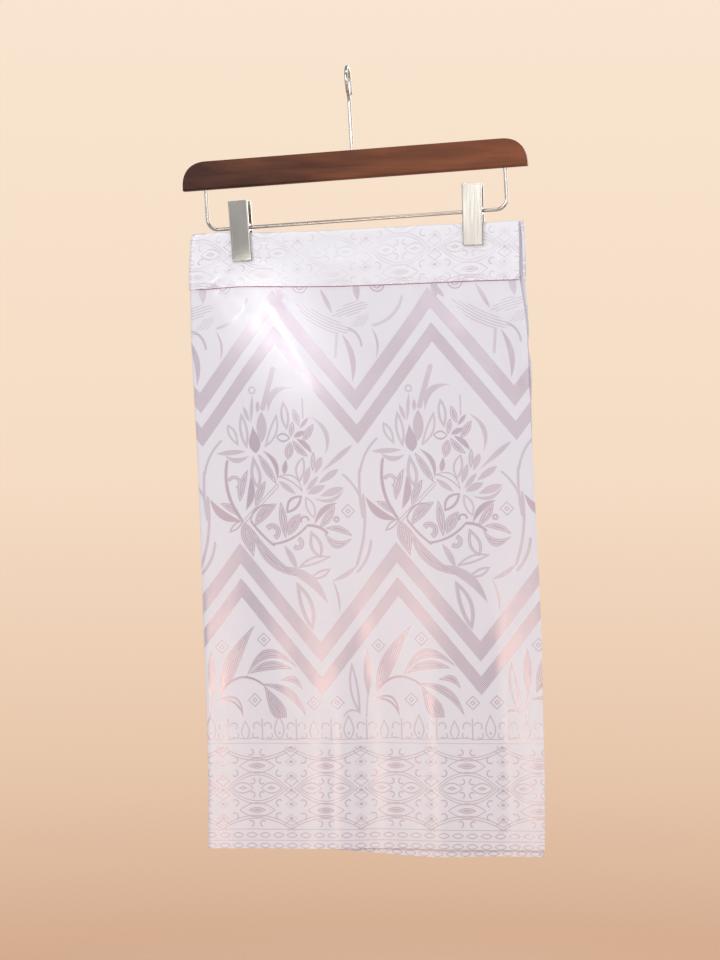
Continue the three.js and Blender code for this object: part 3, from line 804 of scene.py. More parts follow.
# ---- finishes ----------------------------------------------------------------------------------


def new_material(name: str) -> tuple[bpy.types.Material, Draft, bpy.types.Node]:
    """An empty material with its shader.

    Args:
        name: The material's name.

    Returns:
        The material, a draft of its tree and its Principled shader.
    """
    material = bpy.data.materials.new(name)
    material.use_nodes = True
    material.node_tree.nodes.clear()
    draft = Draft(material.node_tree)
    shader = draft.node("ShaderNodeBsdfPrincipled")
    output = draft.node("ShaderNodeOutputMaterial")
    draft.feed(output.inputs["Surface"], shader.outputs[0])
    return material, draft, shader


def darker(colour: Colour, share: float) -> Colour:
    """A share of a colour's light."""
    return tuple(share * c for c in colour[:3]) + (1.0,)


def use_group(draft: Draft, tree: bpy.types.NodeTree, **values: object) -> bpy.types.Node:
    """Place a group in a material, with its inputs by name."""
    return draft.fill(draft.node("ShaderNodeGroup", node_tree=tree), values)


def add_bump(draft: Draft, shader: bpy.types.Node, height: object, distance: float) -> None:
    """Give a shader a bump from a height, of a distance in metres."""
    bump = draft.node("ShaderNodeBump")
    draft.fill(bump, {"Strength": 1.0, "Distance": distance, "Height": height})
    draft.feed(shader.inputs["Normal"], bump.outputs[0])


@dataclass(frozen=True)
class SatinFinish:
    """Woven satin with figures in a thread of another lustre."""

    name: str
    cloth: Cloth
    ground: Colour
    figure: Colour
    ground_roughness: float = 0.34
    figure_roughness: float = 0.27
    figure_metal: float = 0.5
    threads: float = 0.004
    crumple: float = 0.5
    emboss: float = 0.0

    def make(self, effects: Effects) -> bpy.types.Material:
        """Build the material from the shared weave and figures."""
        material, draft, shader = new_material(self.name)
        place = draft.node("ShaderNodeUVMap", uv_map=ClothMesh.UV_NAME).outputs[0]
        weave = use_group(draft, effects.weave, Place=place, Threads=self.threads, Crumple=self.crumple)
        cloudy = Term(draft, weave.outputs["Cloudy"])
        shade = draft.blend(cloudy.times_plus(0.5, -0.1), self.ground, darker(self.ground, 0.965))
        group = use_group(draft, effects.figures.get(self.cloth), Place=place)
        figure = Term(draft, group.outputs["Figure"])
        spread = self.figure_roughness - self.ground_roughness
        values = {
            "Base Color": draft.blend(figure, shade, self.figure),
            "Roughness": figure.times_plus(spread, self.ground_roughness),
            "Metallic": figure * self.figure_metal,
            "Specular IOR Level": 0.95,
            "Sheen Weight": 0.12,
            "Sheen Roughness": 0.4,
        }
        draft.fill(shader, values)
        height = Term(draft, weave.outputs["Height"])
        if self.emboss:
            height = figure.times_plus(self.emboss, height)
        add_bump(draft, shader, height, MM)
        return material


@dataclass(frozen=True)
class WoodFinish:
    """Stained and waxed hardwood."""

    name: str = "stained_wood"
    dark: Colour = srgb(62, 27, 13)
    light: Colour = srgb(150, 86, 52)
    fineness: float = 1.0

    def make(self, effects: Effects) -> bpy.types.Material:
        """Build the material from the shared grain, with painted light that makes the right end lighter."""
        material, draft, shader = new_material(self.name)
        at = draft.node("ShaderNodeTexCoord").outputs["Object"]
        grain = use_group(draft, effects.grain, Along=at, Fineness=self.fineness)
        # Painted light: the wood grows lighter towards the bar's right end, as if lit from the right.
        painted_light_right_end = draft.parts(at)[0] * 2.0
        share = (Term(draft, grain.outputs["Grain"]).times_plus(1.3, -0.3) + painted_light_right_end).share()
        pores = Term(draft, grain.outputs["Pores"])
        figure = draft.blend(share, self.dark, self.light)
        dots = pores.times_plus(-5.0, 2.2).share()
        values = {
            "Base Color": draft.blend(dots * 0.5, figure, self.dark),
            "Roughness": pores.times_plus(0.25, 0.38),
            "Specular IOR Level": 0.28,
            "Coat Weight": 0.04,
            "Coat Roughness": 0.3,
        }
        draft.fill(shader, values)
        add_bump(draft, shader, pores, 0.12 * MM)
        return material


@dataclass(frozen=True)
class MetalFinish:
    """Polished, brushed or coppered metal."""

    name: str
    colour: Colour
    roughness: float
    brushed: float = 0.0

    def make(self, effects: Effects) -> bpy.types.Material:
        """Build the material from the shared brushing."""
        material, draft, shader = new_material(self.name)
        at = draft.node("ShaderNodeTexCoord").outputs["Object"]
        brush = use_group(draft, effects.brush, At=at, Fineness=1.0)
        streak = Term(draft, brush.outputs["Brushed"])
        cloud = Term(draft, brush.outputs["Clouding"])
        shade = draft.blend(cloud, self.colour, darker(self.colour, 0.86))
        rough = streak.times_plus(0.12 + self.brushed, self.roughness - 0.06)
        draft.fill(shader, {"Base Color": shade, "Roughness": rough, "Metallic": 1.0})
        if self.brushed:
            add_bump(draft, shader, streak, 0.004 * MM)
        return material


@dataclass(frozen=True)
class SoftFinish:
    """Rubber or nylon: a matt, slightly uneven surface."""

    name: str
    colour: Colour
    roughness: float
    pile: float

    def make(self, effects: Effects) -> bpy.types.Material:
        """Build the material with a noise of its own scale."""
        material, draft, shader = new_material(self.name)
        at = draft.node("ShaderNodeTexCoord").outputs["Object"]
        fleck = draft.noise(at, self.pile)
        shade = draft.blend(fleck * 0.6, self.colour, darker(self.colour, 0.7))
        rough = fleck.times_plus(0.15, self.roughness - 0.07)
        draft.fill(shader, {"Base Color": shade, "Roughness": rough})
        add_bump(draft, shader, fleck, 0.15 * MM)
        return material


GROUND = srgb(233, 231, 239)
FIGURE = srgb(195, 175, 191)
BORDER_FIGURE = srgb(200, 180, 192)
BAND_GROUND = srgb(241, 241, 247)
BAND_FIGURE = srgb(208, 192, 206)


class Finishes:
    """Every finish of the piece, made once."""

    def __init__(self, effects: Effects) -> None:
        """Make the materials."""
        figured = SatinFinish("panel_satin_figured", Cloth.FIGURED, GROUND, FIGURE)
        leaves = SatinFinish("panel_satin_leaves", Cloth.LEAVES, GROUND, FIGURE)
        border = SatinFinish("panel_satin_border", Cloth.BORDER, GROUND, BORDER_FIGURE, figure_metal=0.35)
        band = SatinFinish("waistband_satin", Cloth.BAND, BAND_GROUND, BAND_FIGURE, crumple=0.9, emboss=0.12)
        self.panel = [finish.make(effects) for finish in (figured, leaves, border)]
        self.band = [band.make(effects)]
        self.thread = SoftFinish("sewing_thread", srgb(226, 214, 224), 0.6, 2500.0).make(effects)
        # Dark mauve-red seam thread: its almost unbroken row under the band's lower edge is the seam's
        # stitching and also painted shade where the band sits over the panel.
        self.seam_thread_painted_shade = SoftFinish("seam_thread_painted_shade", srgb(196, 116, 134), 0.6, 2500.0).make(effects)
        self.tape = SoftFinish("closure_tape", srgb(246, 246, 246), 0.9, 1400.0).make(effects)
        self.wood = WoodFinish().make(effects)
        self.chrome = MetalFinish("wire_chrome", srgb(214, 208, 200), 0.16).make(effects)
        self.steel = MetalFinish("clip_steel", srgb(201, 196, 187), 0.2, brushed=0.05).make(effects)
        self.spring = MetalFinish("clip_spring", srgb(196, 128, 66), 0.3).make(effects)
        self.rubber = SoftFinish("clip_rubber", srgb(26, 25, 25), 0.7, 900.0).make(effects)


# ---- the form of the wrapped cloth -------------------------------------------------------------


class Side(NamedTuple):
    """The outline at one height: middle of the left fold, flap's free edge, middle of the right fold."""

    z: float
    fold_left: float
    flap_edge: float
    fold_right: float


class Level(NamedTuple):
    """Heights at one place across: top of the band, its seam, hem of the flap, hem of the back."""

    across: float
    top: float
    seam: float
    front_hem: float
    back_hem: float


class SoftFold(NamedTuple):
    """A soft standing fold of the hanging part."""

    top_x: float
    hem_x: float
    reach: float
    top_depth: float
    hem_depth: float


class Crease(NamedTuple):
    """A soft ridge, or a trough below nought, from one place on the cloth to another."""

    start: Place
    end: Place
    reach: float
    height: float


SIDES = (
    Side(-156, -155.6, 175.6, 177.3),
    Side(-166, -157.4, 175.8, 178.3),
    Side(-172, -159.4, 176.0, 179.0),
    Side(-185, -160.4, 176.4, 179.4),
    Side(-213, -161.4, 176.9, 180.2),
    Side(-245, -161.1, 182.1, 182.9),
    Side(-266, -160.7, 184.2, 184.5),
    Side(-281, -160.2, 185.0, 183.5),
    Side(-301, -159.3, 186.0, 186.6),
    Side(-346, -156.8, 187.9, 186.9),
    Side(-437, -152.6, 192.8, 189.7),
    Side(-558, -148.8, 199.3, 195.7),
    Side(-640, -146.0, 201.6, 199.0),
    Side(-720, -143.9, 203.8, 200.7),
    Side(-806, -143.7, 204.2, 200.8),
)

LEVELS = (
    Level(0.00, -165.8, -223.0, -803.4, -802.6),
    Level(0.06, -164.2, -222.0, -802.9, -802.2),
    Level(0.15, -164.6, -220.0, -801.5, -800.9),
    Level(0.34, -164.1, -220.4, -799.0, -798.6),
    Level(0.45, -163.1, -220.2, -797.6, -801.7),
    Level(0.67, -159.9, -218.2, -795.2, -804.1),
    Level(0.87, -157.6, -215.8, -794.8, -802.0),
    Level(1.00, -155.9, -214.9, -793.2, -800.8),
)

# The soft folds set in, and run from their top place to their hem place, between these drops.
FOLDS_SET_IN = (200, 300)
FOLDS_RUN = (225, 800)

SOFT_FOLDS = (
    SoftFold(-118, -112, 26, 0.6, 2.2),
    SoftFold(-60, -22, 34, -1.0, -2.8),
    SoftFold(10, 34, 22, 0.2, 2.4),
    SoftFold(70, 96, 32, -0.6, -2.2),
    SoftFold(140, 160, 30, 0.8, 2.0),
)

FRONT_CREASES = (
    Crease((56, -4), (150, 140), 24, 0.9),
    Crease((12, 30), (72, 160), 15, -0.5),
    Crease((74, 4), (128, 96), 10, 1.0),
    Crease((24, 0), (38, 46), 8, 0.9),
    Crease((50, 4), (58, 34), 6, -0.8),
    Crease((122, 400), (117, 585), 11, -0.9),
    Crease((140, 370), (135, 585), 14, 1.1),
    Crease((18, 320), (12, 585), 12, -0.7),
    Crease((200, 60), (262, 250), 20, -1.2),
    Crease((262, 16), (318, 196), 15, 1.4),
    Crease((322, 4), (340, 120), 9, 1.6),
    Crease((296, 2), (302, 46), 6, 0.9),
    Crease((232, 350), (242, 585), 13, 1.2),
    Crease((300, 290), (318, 585), 12, -1.3),
    Crease((58, 290), (86, 480), 17, 1.1),
    Crease((170, 250), (196, 420), 20, 0.9),
)

BACK_CREASES = (
    Crease((-52, 8), (-170, 150), 20, 1.3),
    Crease((-96, 360), (-104, 585), 11, 1.0),
    Crease((-150, 420), (-146, 585), 9, -0.9),
    Crease((-214, 40), (-268, 260), 22, 1.0),
    Crease((-300, 20), (-334, 160), 14, -0.8),
    Crease((-248, 380), (-262, 585), 13, 0.9),
    Crease((-330, 330), (-322, 585), 9, 0.8),
)

# Soft ripples that fan out from the clips, on the front and on the back of the band.
BAND_CREASES = (
    Crease((52, -34), (96, -22), 4.5, -0.5),
    Crease((54, -26), (90, -8), 4.0, 0.45),
    Crease((20, -30), (40, -22), 4.0, -0.4),
    Crease((262, -36), (292, -26), 4.0, -0.5),
    Crease((262, -24), (288, -18), 4.0, 0.4),
    Crease((312, -40), (340, -28), 3.6, -0.6),
    Crease((312, -28), (342, -10), 4.0, 0.5),
    Crease((120, -20), (230, -26), 9.0, 0.5),
    Crease((110, -44), (250, -42), 8.0, -0.4),
    Crease((22, -2), (34, -14), 3.0, 0.7),
)

BAND_BACK_CREASES = (
    Crease((-66, -34), (-104, -20), 4.5, -0.5),
    Crease((-30, -28), (-46, -20), 4.0, 0.4),
    Crease((-276, -34), (-304, -24), 4.0, -0.5),
    Crease((-130, -22), (-236, -28), 9.0, 0.5),
)


def read_table(rows: Sequence[NamedTuple], column: str, value: np.ndarray) -> np.ndarray:
    """Read a table on a smooth curve through its rows.

    Args:
        rows: The table; its first column is the place.
        column: The column that is read.
        value: The places.

    Returns:
        The column's value at each place.
    """
    places = np.array([row[0] for row in rows], float)
    values = np.array([getattr(row, column) for row in rows], float)
    order = np.argsort(places)
    places, values = places[order], values[order]
    ahead = np.minimum(np.arange(len(places)) + 1, len(places) - 1)
    behind = np.maximum(np.arange(len(places)) - 1, 0)
    slopes = (values[ahead] - values[behind]) / (places[ahead] - places[behind])
    k = np.clip(np.searchsorted(places, value) - 1, 0, len(places) - 2)
    width = places[k + 1] - places[k]
    t = np.clip((value - places[k]) / width, 0, 1)
    return (
        values[k] * (1 + 2 * t) * (1 - t) ** 2
        + slopes[k] * width * t * (1 - t) ** 2
        + values[k + 1] * t * t * (3 - 2 * t)
        - slopes[k + 1] * width * t * t * (1 - t)
    )


def level_at(column: str, across: float) -> float:
    """A height from the table of levels, at one place across."""
    return float(read_table(LEVELS, column, np.array(across)))


def smoothstep(value: np.ndarray, low: float, high: float) -> np.ndarray:
    """A soft step from nought to one."""
    t = np.clip((value - low) / (high - low), 0, 1)
    return t * t * (3 - 2 * t)


def lerp(low: object, high: object, share: object) -> object:
    """A value between two others."""
    return low + (high - low) * share


@dataclass(frozen=True)
class Drape:
    """The form of the folded cloth: plies at depths from its folded middle plane, in millimetres.

    width and drop are the strip's chart sizes, band_outer and band_inner the depths of the band's
    two legs and right_turn that of the fold round which the underlap turns in. The puckers are
    waves of a pitch and height that fade out below the seam over their drop.
    """

    width: float = 350.0
    drop: float = 580.0
    ply_depth: float = 3.25
    band_outer: float = 4.55
    band_inner: float = 1.95
    right_turn: float = 1.95
    pucker_pitch: float = 17.0
    pucker_height: float = 0.45
    pucker_drop: float = 16.0

    def soft_fold(self, x: np.ndarray, z: np.ndarray) -> np.ndarray:
        """How far the standing folds push every ply back."""
        run = smoothstep(-z, *FOLDS_RUN)
        set_in = smoothstep(-z, *FOLDS_SET_IN)
        push = np.zeros_like(x)
        for fold in SOFT_FOLDS:
            middle = lerp(fold.top_x, fold.hem_x, run)
            depth = lerp(fold.top_depth, fold.hem_depth, run)
            push += depth * np.exp(-(((x - middle) / fold.reach) ** 2))
        return push * set_in

    def crease(self, u: np.ndarray, v: np.ndarray, creases: Sequence[Crease]) -> np.ndarray:
        """How far the creases and the puckers under the seam lift one ply."""
        lift = np.zeros_like(u)
        for crease in creases:
            run = np.array(crease.end, float) - crease.start
            length = np.hypot(*run)
            along = ((u - crease.start[0]) * run[0] + (v - crease.start[1]) * run[1]) / length**2
            aside = ((u - crease.start[0]) * run[1] - (v - crease.start[1]) * run[0]) / length
            ends = smoothstep(along, -0.02, 0.25) * smoothstep(1 - along, -0.02, 0.3)
            if crease.end[1] > self.drop:
                ends = smoothstep(along, -0.02, 0.5)
            lift += crease.height * np.exp(-((aside / crease.reach) ** 2)) * ends
        wander = u + 7 * np.sin(u / 23.0) + 4 * np.sin(u / 9.1)
        size = 0.55 + 0.45 * np.sin(u / 31.0 + 1.3)
        fade = np.exp(-np.maximum(v, 0) / self.pucker_drop) * (v > -1)
        return lift + self.pucker_height * size * np.sin(wander * TURN / self.pucker_pitch) * fade


DRAPE = Drape()


class Stretch(Enum):
    """The stretches of the wrapped strip."""

    FRONT = "front"
    LEFT_TURN = "left turn"
    BACK = "back"
    RIGHT_TURN = "right turn"
    UNDERLAP = "underlap"


@dataclass(frozen=True)
class Column:
    """One upright line of the cloth."""

    stretch: Stretch
    across: float
    angle: float = 0.0

    def plan(self, z: np.ndarray, depth: np.ndarray) -> tuple[np.ndarray, np.ndarray]:
        """Where the column is seen from above.

        Args:
            z: The heights.
            depth: The depths from the folded middle plane.

        Returns:
            Its x and y.
        """
        left = read_table(SIDES, "fold_left", z)
        if self.stretch is Stretch.LEFT_TURN:
            return left - depth * math.cos(self.angle), depth * math.sin(self.angle)
        if self.stretch is Stretch.RIGHT_TURN:
            radius = depth - DRAPE.right_turn
            right = read_table(SIDES, "fold_right", z)
            return right + radius * math.cos(self.angle), DRAPE.right_turn + radius * math.sin(self.angle)
        edge = "flap_edge" if self.stretch is Stretch.FRONT else "fold_right"
        x = lerp(left, read_table(SIDES, edge, z), self.across)
        if self.stretch is Stretch.FRONT:
            return x, -depth
        if self.stretch is Stretch.BACK:
            return x, depth
        return x, 2 * DRAPE.right_turn - depth

    @property
    def along_strip(self) -> float:
        """The place along the strip in cloth millimetres, nought at the left fold."""
        turn = math.pi * DRAPE.ply_depth
        if self.stretch is Stretch.FRONT:
            return DRAPE.width * self.across
        if self.stretch is Stretch.LEFT_TURN:
            return -DRAPE.ply_depth * (self.angle + QUARTER)
        if self.stretch is Stretch.BACK:
            return -turn - DRAPE.width * self.across
        if self.stretch is Stretch.RIGHT_TURN:
            return -turn - DRAPE.width - (DRAPE.ply_depth - DRAPE.right_turn) * (QUARTER - self.angle)
        return -2 * turn - DRAPE.width * (2 - self.across)

    @property
    def outward(self) -> float:
        """Which way a ridge stands out along Y, nought on the turns."""
        return {Stretch.FRONT: -1.0, Stretch.BACK: 1.0}.get(self.stretch, 0.0)


def flat(stretch: Stretch, start: float, end: float, steps: int) -> list[Column]:
    """Columns of one flat stretch, evenly spread."""
    return [Column(stretch, lerp(start, end, k / steps)) for k in range(steps + 1)]


def turned(stretch: Stretch, start: float, end: float, across: float, steps: int = 8) -> list[Column]:
    """Columns round a fold, without its two ends."""
    return [Column(stretch, across, lerp(start, end, (k + 1) / steps)) for k in range(steps - 1)]


class Rung(NamedTuple):
    """A row of the cloth, a share of the way from the seam to an edge and then some more above.

    depth is how far its middle is from the folded middle plane, lean turns its outside, in
    radians, and chart is its place down in cloth millimetres.
    """

    edge: str
    share: float
    above: float
    depth: float
    lean: float
    chart: float

    def height(self, across: float) -> float:
        """Its height at a place across, in millimetres."""
        return lerp(level_at("seam", across), level_at(self.edge, across), self.share) + self.above


class ClothMesh:
    """Makes a closed thin shell from columns and rungs, with a map in real cloth sizes."""

    UV_NAME = "cloth_map"
    WALL = 0.7

    def __init__(self, name: str, columns: Sequence[Column]) -> None:
        """Start a piece on its columns."""
        self.name = name
        self.columns = columns

    def build(
        self,
        rungs: Sequence[Rung],
        creases: Sequence[Crease],
        materials: Sequence[bpy.types.Material],
        pick: Optional[Callable[[np.ndarray, np.ndarray], np.ndarray]] = None,
    ) -> bpy.types.Object:
        """Build the shell.

        Args:
            rungs: Its rows.
            creases: The ridges and troughs of this piece.
            materials: Its materials in order.
            pick: Chooses a material's number from the chart places of the faces.

        Returns:
            The object.
        """
        count, height = len(self.columns), len(rungs)
        points = np.zeros((2, count, height, 3))
        chart = np.zeros((count, height, 2))
        chart[:, :, 1] = [rung.chart for rung in rungs]
        depth = np.array([rung.depth for rung in rungs])
        lean = np.array([rung.lean for rung in rungs])
        for i, column in enumerate(self.columns):
            middle = np.array([rung.height(column.across) for rung in rungs])
            chart[i, :, 0] = column.along_strip
            lift = DRAPE.crease(chart[i, :, 0], chart[i, :, 1], creases) * column.outward
            for face, offset in enumerate((self.WALL / 2, -self.WALL / 2)):
                z = middle + offset * np.sin(lean)
                x, y = column.plan(z, depth + offset * np.cos(lean))
                points[face, i] = np.stack([x, y + DRAPE.soft_fold(x, z) + lift, z], -1)
        return self.shell(points, chart, materials, pick)

    def shell(
        self,
        points: np.ndarray,
        chart: np.ndarray,
        materials: Sequence[bpy.types.Material],
        pick: Optional[Callable[[np.ndarray, np.ndarray], np.ndarray]],
    ) -> bpy.types.Object:
        """Join two faces of points into a closed mesh with its map and materials."""
        _, count, height, _ = points.shape
        index = np.arange(2 * count * height).reshape(2, count, height)
        outer, inner = index

        def quads(a: np.ndarray, b: np.ndarray, c: np.ndarray, d: np.ndarray) -> np.ndarray:
            """Quads from four grids of corners."""
            return np.stack([a, b, c, d], -1).reshape(-1, 4)

        faces = np.concatenate(
            [
                quads(outer[:-1, :-1], outer[1:, :-1], outer[1:, 1:], outer[:-1, 1:]),
                quads(inner[:-1, :-1], inner[:-1, 1:], inner[1:, 1:], inner[1:, :-1]),
                quads(outer[:-1, 0], inner[:-1, 0], inner[1:, 0], outer[1:, 0]),
                quads(outer[:-1, -1], outer[1:, -1], inner[1:, -1], inner[:-1, -1]),
                quads(outer[0, :-1], outer[0, 1:], inner[0, 1:], inner[0, :-1]),
                quads(outer[-1, :-1], inner[-1, :-1], inner[-1, 1:], outer[-1, 1:]),
            ]
        )
        flat_points = points.reshape(-1, 3) * MM
        corners = flat_points[faces]
        normal = np.cross(corners[:, 1] - corners[:, 0], corners[:, 2] - corners[:, 0])
        if (normal * corners.mean(1)).sum() < 0:
            faces = faces[:, ::-1]
        mesh = bpy.data.meshes.new(self.name)
        mesh.from_pydata(flat_points.tolist(), [], faces.tolist())
        flat_chart = np.tile(chart.reshape(-1, 2), (2, 1))
        layer = mesh.uv_layers.new(name=self.UV_NAME)
        layer.data.foreach_set("uv", (flat_chart[faces.reshape(-1)] * MM).astype(np.float32).ravel())
        for material in materials:
            mesh.materials.append(material)
        if pick:
            middles = flat_chart[faces].mean(1)
            numbers = pick(middles[:, 0], middles[:, 1]).astype(np.int32)
            mesh.polygons.foreach_set("material_index", numbers)
        mesh.polygons.foreach_set("use_smooth", np.ones(len(faces), bool))
        mesh.update()
        piece = add_object(self.name, mesh)
        choose(piece)
        smooth_over(50)
        return piece


# ---- modelling by hand -------------------------------------------------------------------------


def add_object(name: str, data: bpy.types.ID) -> bpy.types.Object:
    """Put a new object with its data into the scene."""
    piece = bpy.data.objects.new(name, data)
    bpy.context.scene.collection.objects.link(piece)
    return piece


def deselect() -> None:
    """Leave nothing selected."""
    for other in bpy.context.selected_objects:
        other.select_set(False)


def choose(piece: bpy.types.Object) -> None:
    """Select one object alone and make it the one worked on."""
    deselect()
    piece.select_set(True)
    bpy.context.view_layer.objects.active = piece


def smooth_over(angle: float) -> None:
    """Let the chosen object look smooth over edges of up to an angle in degrees."""
    bpy.ops.object.shade_smooth_by_angle(angle=math.radians(angle))


class Bench:
    """Shapes one piece with the modelling operators, from a primitive to its place."""

    def __init__(self, name: str) -> None:
        """Start a piece."""
        self.name = name
        self.piece: Optional[bpy.types.Object] = None

    def take(self) -> "Bench":
        """Name the new primitive and open it for editing."""
        self.piece = bpy.context.active_object
        self.piece.name = self.name
        self.piece.data.name = self.name
        bpy.ops.object.transform_apply(location=True, rotation=True, scale=True)
        bpy.ops.object.mode_set(mode="EDIT")
        return self

    def box(self, size: Sequence[float], middle: Sequence[float]) -> "Bench":
        """Start from a cube of a size at a place, in millimetres."""
        deselect()
        bpy.ops.mesh.primitive_cube_add(size=1, location=Vector(middle) * MM)
        bpy.context.active_object.scale = Vector(size) * MM
        return self.take()

    def disc(
        self, radius: float, middle: Sequence[float], heading: Sequence[float], corners: int = 20
    ) -> "Bench":
        """Start from a filled circle that faces a heading, in millimetres."""
        deselect()
        turn = Vector((0, 0, 1)).rotation_difference(Vector(heading)).to_euler()
        at = Vector(middle) * MM
        bpy.ops.mesh.primitive_circle_add(
            vertices=corners, radius=radius * MM, fill_type="NGON", location=at, rotation=turn
        )
        return self.take()

    def ball(self, radius: float, middle: Sequence[float]) -> "Bench":
        """Start from a ball, in millimetres."""
        deselect()
        at = Vector(middle) * MM
        bpy.ops.mesh.primitive_uv_sphere_add(segments=20, ring_count=12, radius=radius * MM, location=at)
        return self.take()

    def pick_all(self) -> "Bench":
        """Select the whole piece."""
        bpy.ops.mesh.select_all(action="SELECT")
        return self

    def clear(self, kind: str) -> bpy.types.Mesh:
        """Leave nothing selected, ready for picks of a kind; edit mode is left for a moment."""
        bpy.ops.mesh.select_mode(type=kind)
        bpy.ops.mesh.select_all(action="DESELECT")
        bpy.ops.object.mode_set(mode="OBJECT")
        return self.piece.data

    def pick_faces(self, test: Callable[[Vector, Vector], bool]) -> "Bench":
        """Select the faces whose middle and normal pass a test, in millimetres."""
        mesh = self.clear("FACE")
        for face in mesh.polygons:
            face.select = test(face.center / MM, face.normal)
        bpy.ops.object.mode_set(mode="EDIT")
        return self

    def pick_edges(self, test: Callable[[Vector, Vector], bool]) -> "Bench":
        """Select the edges whose two ends pass a test, in millimetres."""
        mesh = self.clear("EDGE")
        for edge in mesh.edges:
            first, second = (mesh.vertices[v].co / MM for v in edge.vertices)
            edge.select = test(first, second)
        bpy.ops.object.mode_set(mode="EDIT")
        return self

    def bevel(self, width: float, segments: int, profile: float = 0.5) -> "Bench":
        """Bevel the selected edges, in millimetres."""
        bpy.ops.mesh.bevel(offset=width * MM, segments=segments, profile=profile, affect="EDGES")
        return self

    def inset(self, width: float) -> "Bench":
        """Inset the selected faces, in millimetres."""
        bpy.ops.mesh.inset(thickness=width * MM)
        return self

    def round_over(self, radius: float, outward: Sequence[float], steps: int = 4) -> "Bench":
        """Raise the selected face outward on a quarter round of a radius in millimetres."""
        angles = [QUARTER * k / steps for k in range(steps + 1)]
        for start, end in zip(angles[:-1], angles[1:]):
            self.inset(radius * (math.cos(start) - math.cos(end)))
            rise = radius * (math.sin(end) - math.sin(start)) * MM
            bpy.ops.transform.translate(value=Vector(outward) * rise)
        return self

    def pull(self, by: Sequence[float]) -> "Bench":
        """Extrude the selection, in millimetres."""
        bpy.ops.mesh.extrude_region_move(TRANSFORM_OT_translate={"value": Vector(by) * MM})
        return self

    def spin(self, angle: float, middle: Sequence[float], axis: Sequence[float], steps: int) -> "Bench":
        """Spin the selection round a middle in millimetres; the operator counts turns the other way."""
        bpy.ops.mesh.spin(steps=steps, angle=-angle, center=Vector(middle) * MM, axis=axis)
        return self

    def settle(self, place: Matrix = Matrix.Identity(4), smooth: float = 35.0) -> bpy.types.Object:
        """Close the piece, put its place into its mesh and smooth it.

        Args:
            place: Where the finished piece goes, in metres.
            smooth: The angle in degrees up to which edges look smooth.

        Returns:
            The finished object, at the origin.
        """
        bpy.ops.mesh.select_all(action="SELECT")
        bpy.ops.mesh.remove_doubles(threshold=0.001 * MM)
        bpy.ops.mesh.normals_make_consistent(inside=False)
        bpy.ops.object.mode_set(mode="OBJECT")
        self.piece.data.transform(place)
        self.piece.data.update()
        choose(self.piece)
        smooth_over(smooth)
        weighted = self.piece.modifiers.new("flat faces stay flat", "WEIGHTED_NORMAL")
        weighted.keep_sharp = True
        bpy.ops.object.modifier_apply(modifier=weighted.name)
        return self.piece


def join(name: str, pieces: Sequence[bpy.types.Object]) -> bpy.types.Object:
    """Join finished pieces into one object."""
    deselect()
    for piece in pieces:
        piece.select_set(True)
    bpy.context.view_layer.objects.active = pieces[0]
    bpy.ops.object.join()
    pieces[0].name = name
    pieces[0].data.name = name
    return pieces[0]


def dress(piece: bpy.types.Object, material: bpy.types.Material) -> bpy.types.Object:
    """Give a piece its one material."""
    piece.data.materials.clear()
    piece.data.materials.append(material)
    return piece


def stand(piece: bpy.types.Object, slot: str, *nodes: str) -> bpy.types.Object:
    """Set a piece in the frame, in the place of its nodes.

    Args:
        piece: The finished piece.
        slot: Not used.
        nodes: The nodes that it stands for.

    Returns:
        The piece.
    """
    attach(piece, "root")
    if nodes:
        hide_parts(*nodes)
    LOG.info("%s: %d faces", piece.name, len(piece.data.polygons))
    return piece


# ---- the cloth's pieces ------------------------------------------------------------------------


@dataclass
class Stitching:
    """Rows of small stitches along the cloth, each a short rounded bar.

    The profile pairs a place along the bar with the share of its thickness there.
    """

    length: float = 2.1
    pitch: float = 3.0
    thick: float = 0.34
    sink: float = 0.06
    profile: tuple[Place, ...] = ((-0.5, 0.45), (-0.38, 1.0), (0.38, 1.0), (0.5, 0.45))

    def row(
        self, name: str, path: Callable[[np.ndarray], np.ndarray], out: float, start: float, end: float
    ) -> bpy.types.Object:
        """Sew one row.

        Args:
            name: The piece's name.
            path: Gives points in millimetres on the cloth's face for places across.
            out: Which way along Y the face looks.
            start: The first place in millimetres along the row.
            end: The last place.

        Returns:
            The row of stitches as one mesh.
        """
        corners: list[list[float]] = []
        faces: list[list[int]] = []
        raised = np.array([0.0, out, 0.0])
        lift = self.thick / 2 - self.sink
        for centre in np.arange(start, end, self.pitch):
            head, foot = path(np.array([centre - self.length / 2, centre + self.length / 2]))
            along = (foot - head) / np.linalg.norm(foot - head)
            side = np.cross(along, raised)
            base = len(corners)
            for place, size in self.profile:
                middle = (head + foot) / 2 + along * place * self.length + raised * lift
                for k in range(6):
                    angle = TURN * k / 6
                    arm = side * math.cos(angle) + raised * math.sin(angle)
                    corners.append((middle + arm * size * self.thick / 2).tolist())
            for ring in range(3):
                for k in range(6):
                    a, b = base + 6 * ring + k, base + 6 * ring + (k + 1) % 6
                    faces.append([a, b, b + 6, a + 6])
            faces.append([base + k for k in range(5, -1, -1)])
            faces.append([base + 18 + k for k in range(6)])
        mesh = bpy.data.meshes.new(name)
        mesh.from_pydata((np.array(corners) * MM).tolist(), [], faces)
        choose(add_object(name, mesh))
        bpy.ops.object.mode_set(mode="EDIT")
        bpy.ops.mesh.select_all(action="SELECT")
        bpy.ops.mesh.normals_make_consistent(inside=False)
        bpy.ops.object.mode_set(mode="OBJECT")
        smooth_over(60)
        return bpy.context.active_object


class Ply(NamedTuple):
    """What one ply has: its hem's level, creases, node, the way it looks and its sewn stretch."""

    hem: str
    creases: tuple[Crease, ...]
    node: str
    out: float = 0.0
    sewn: Place = (0.0, 0.0)


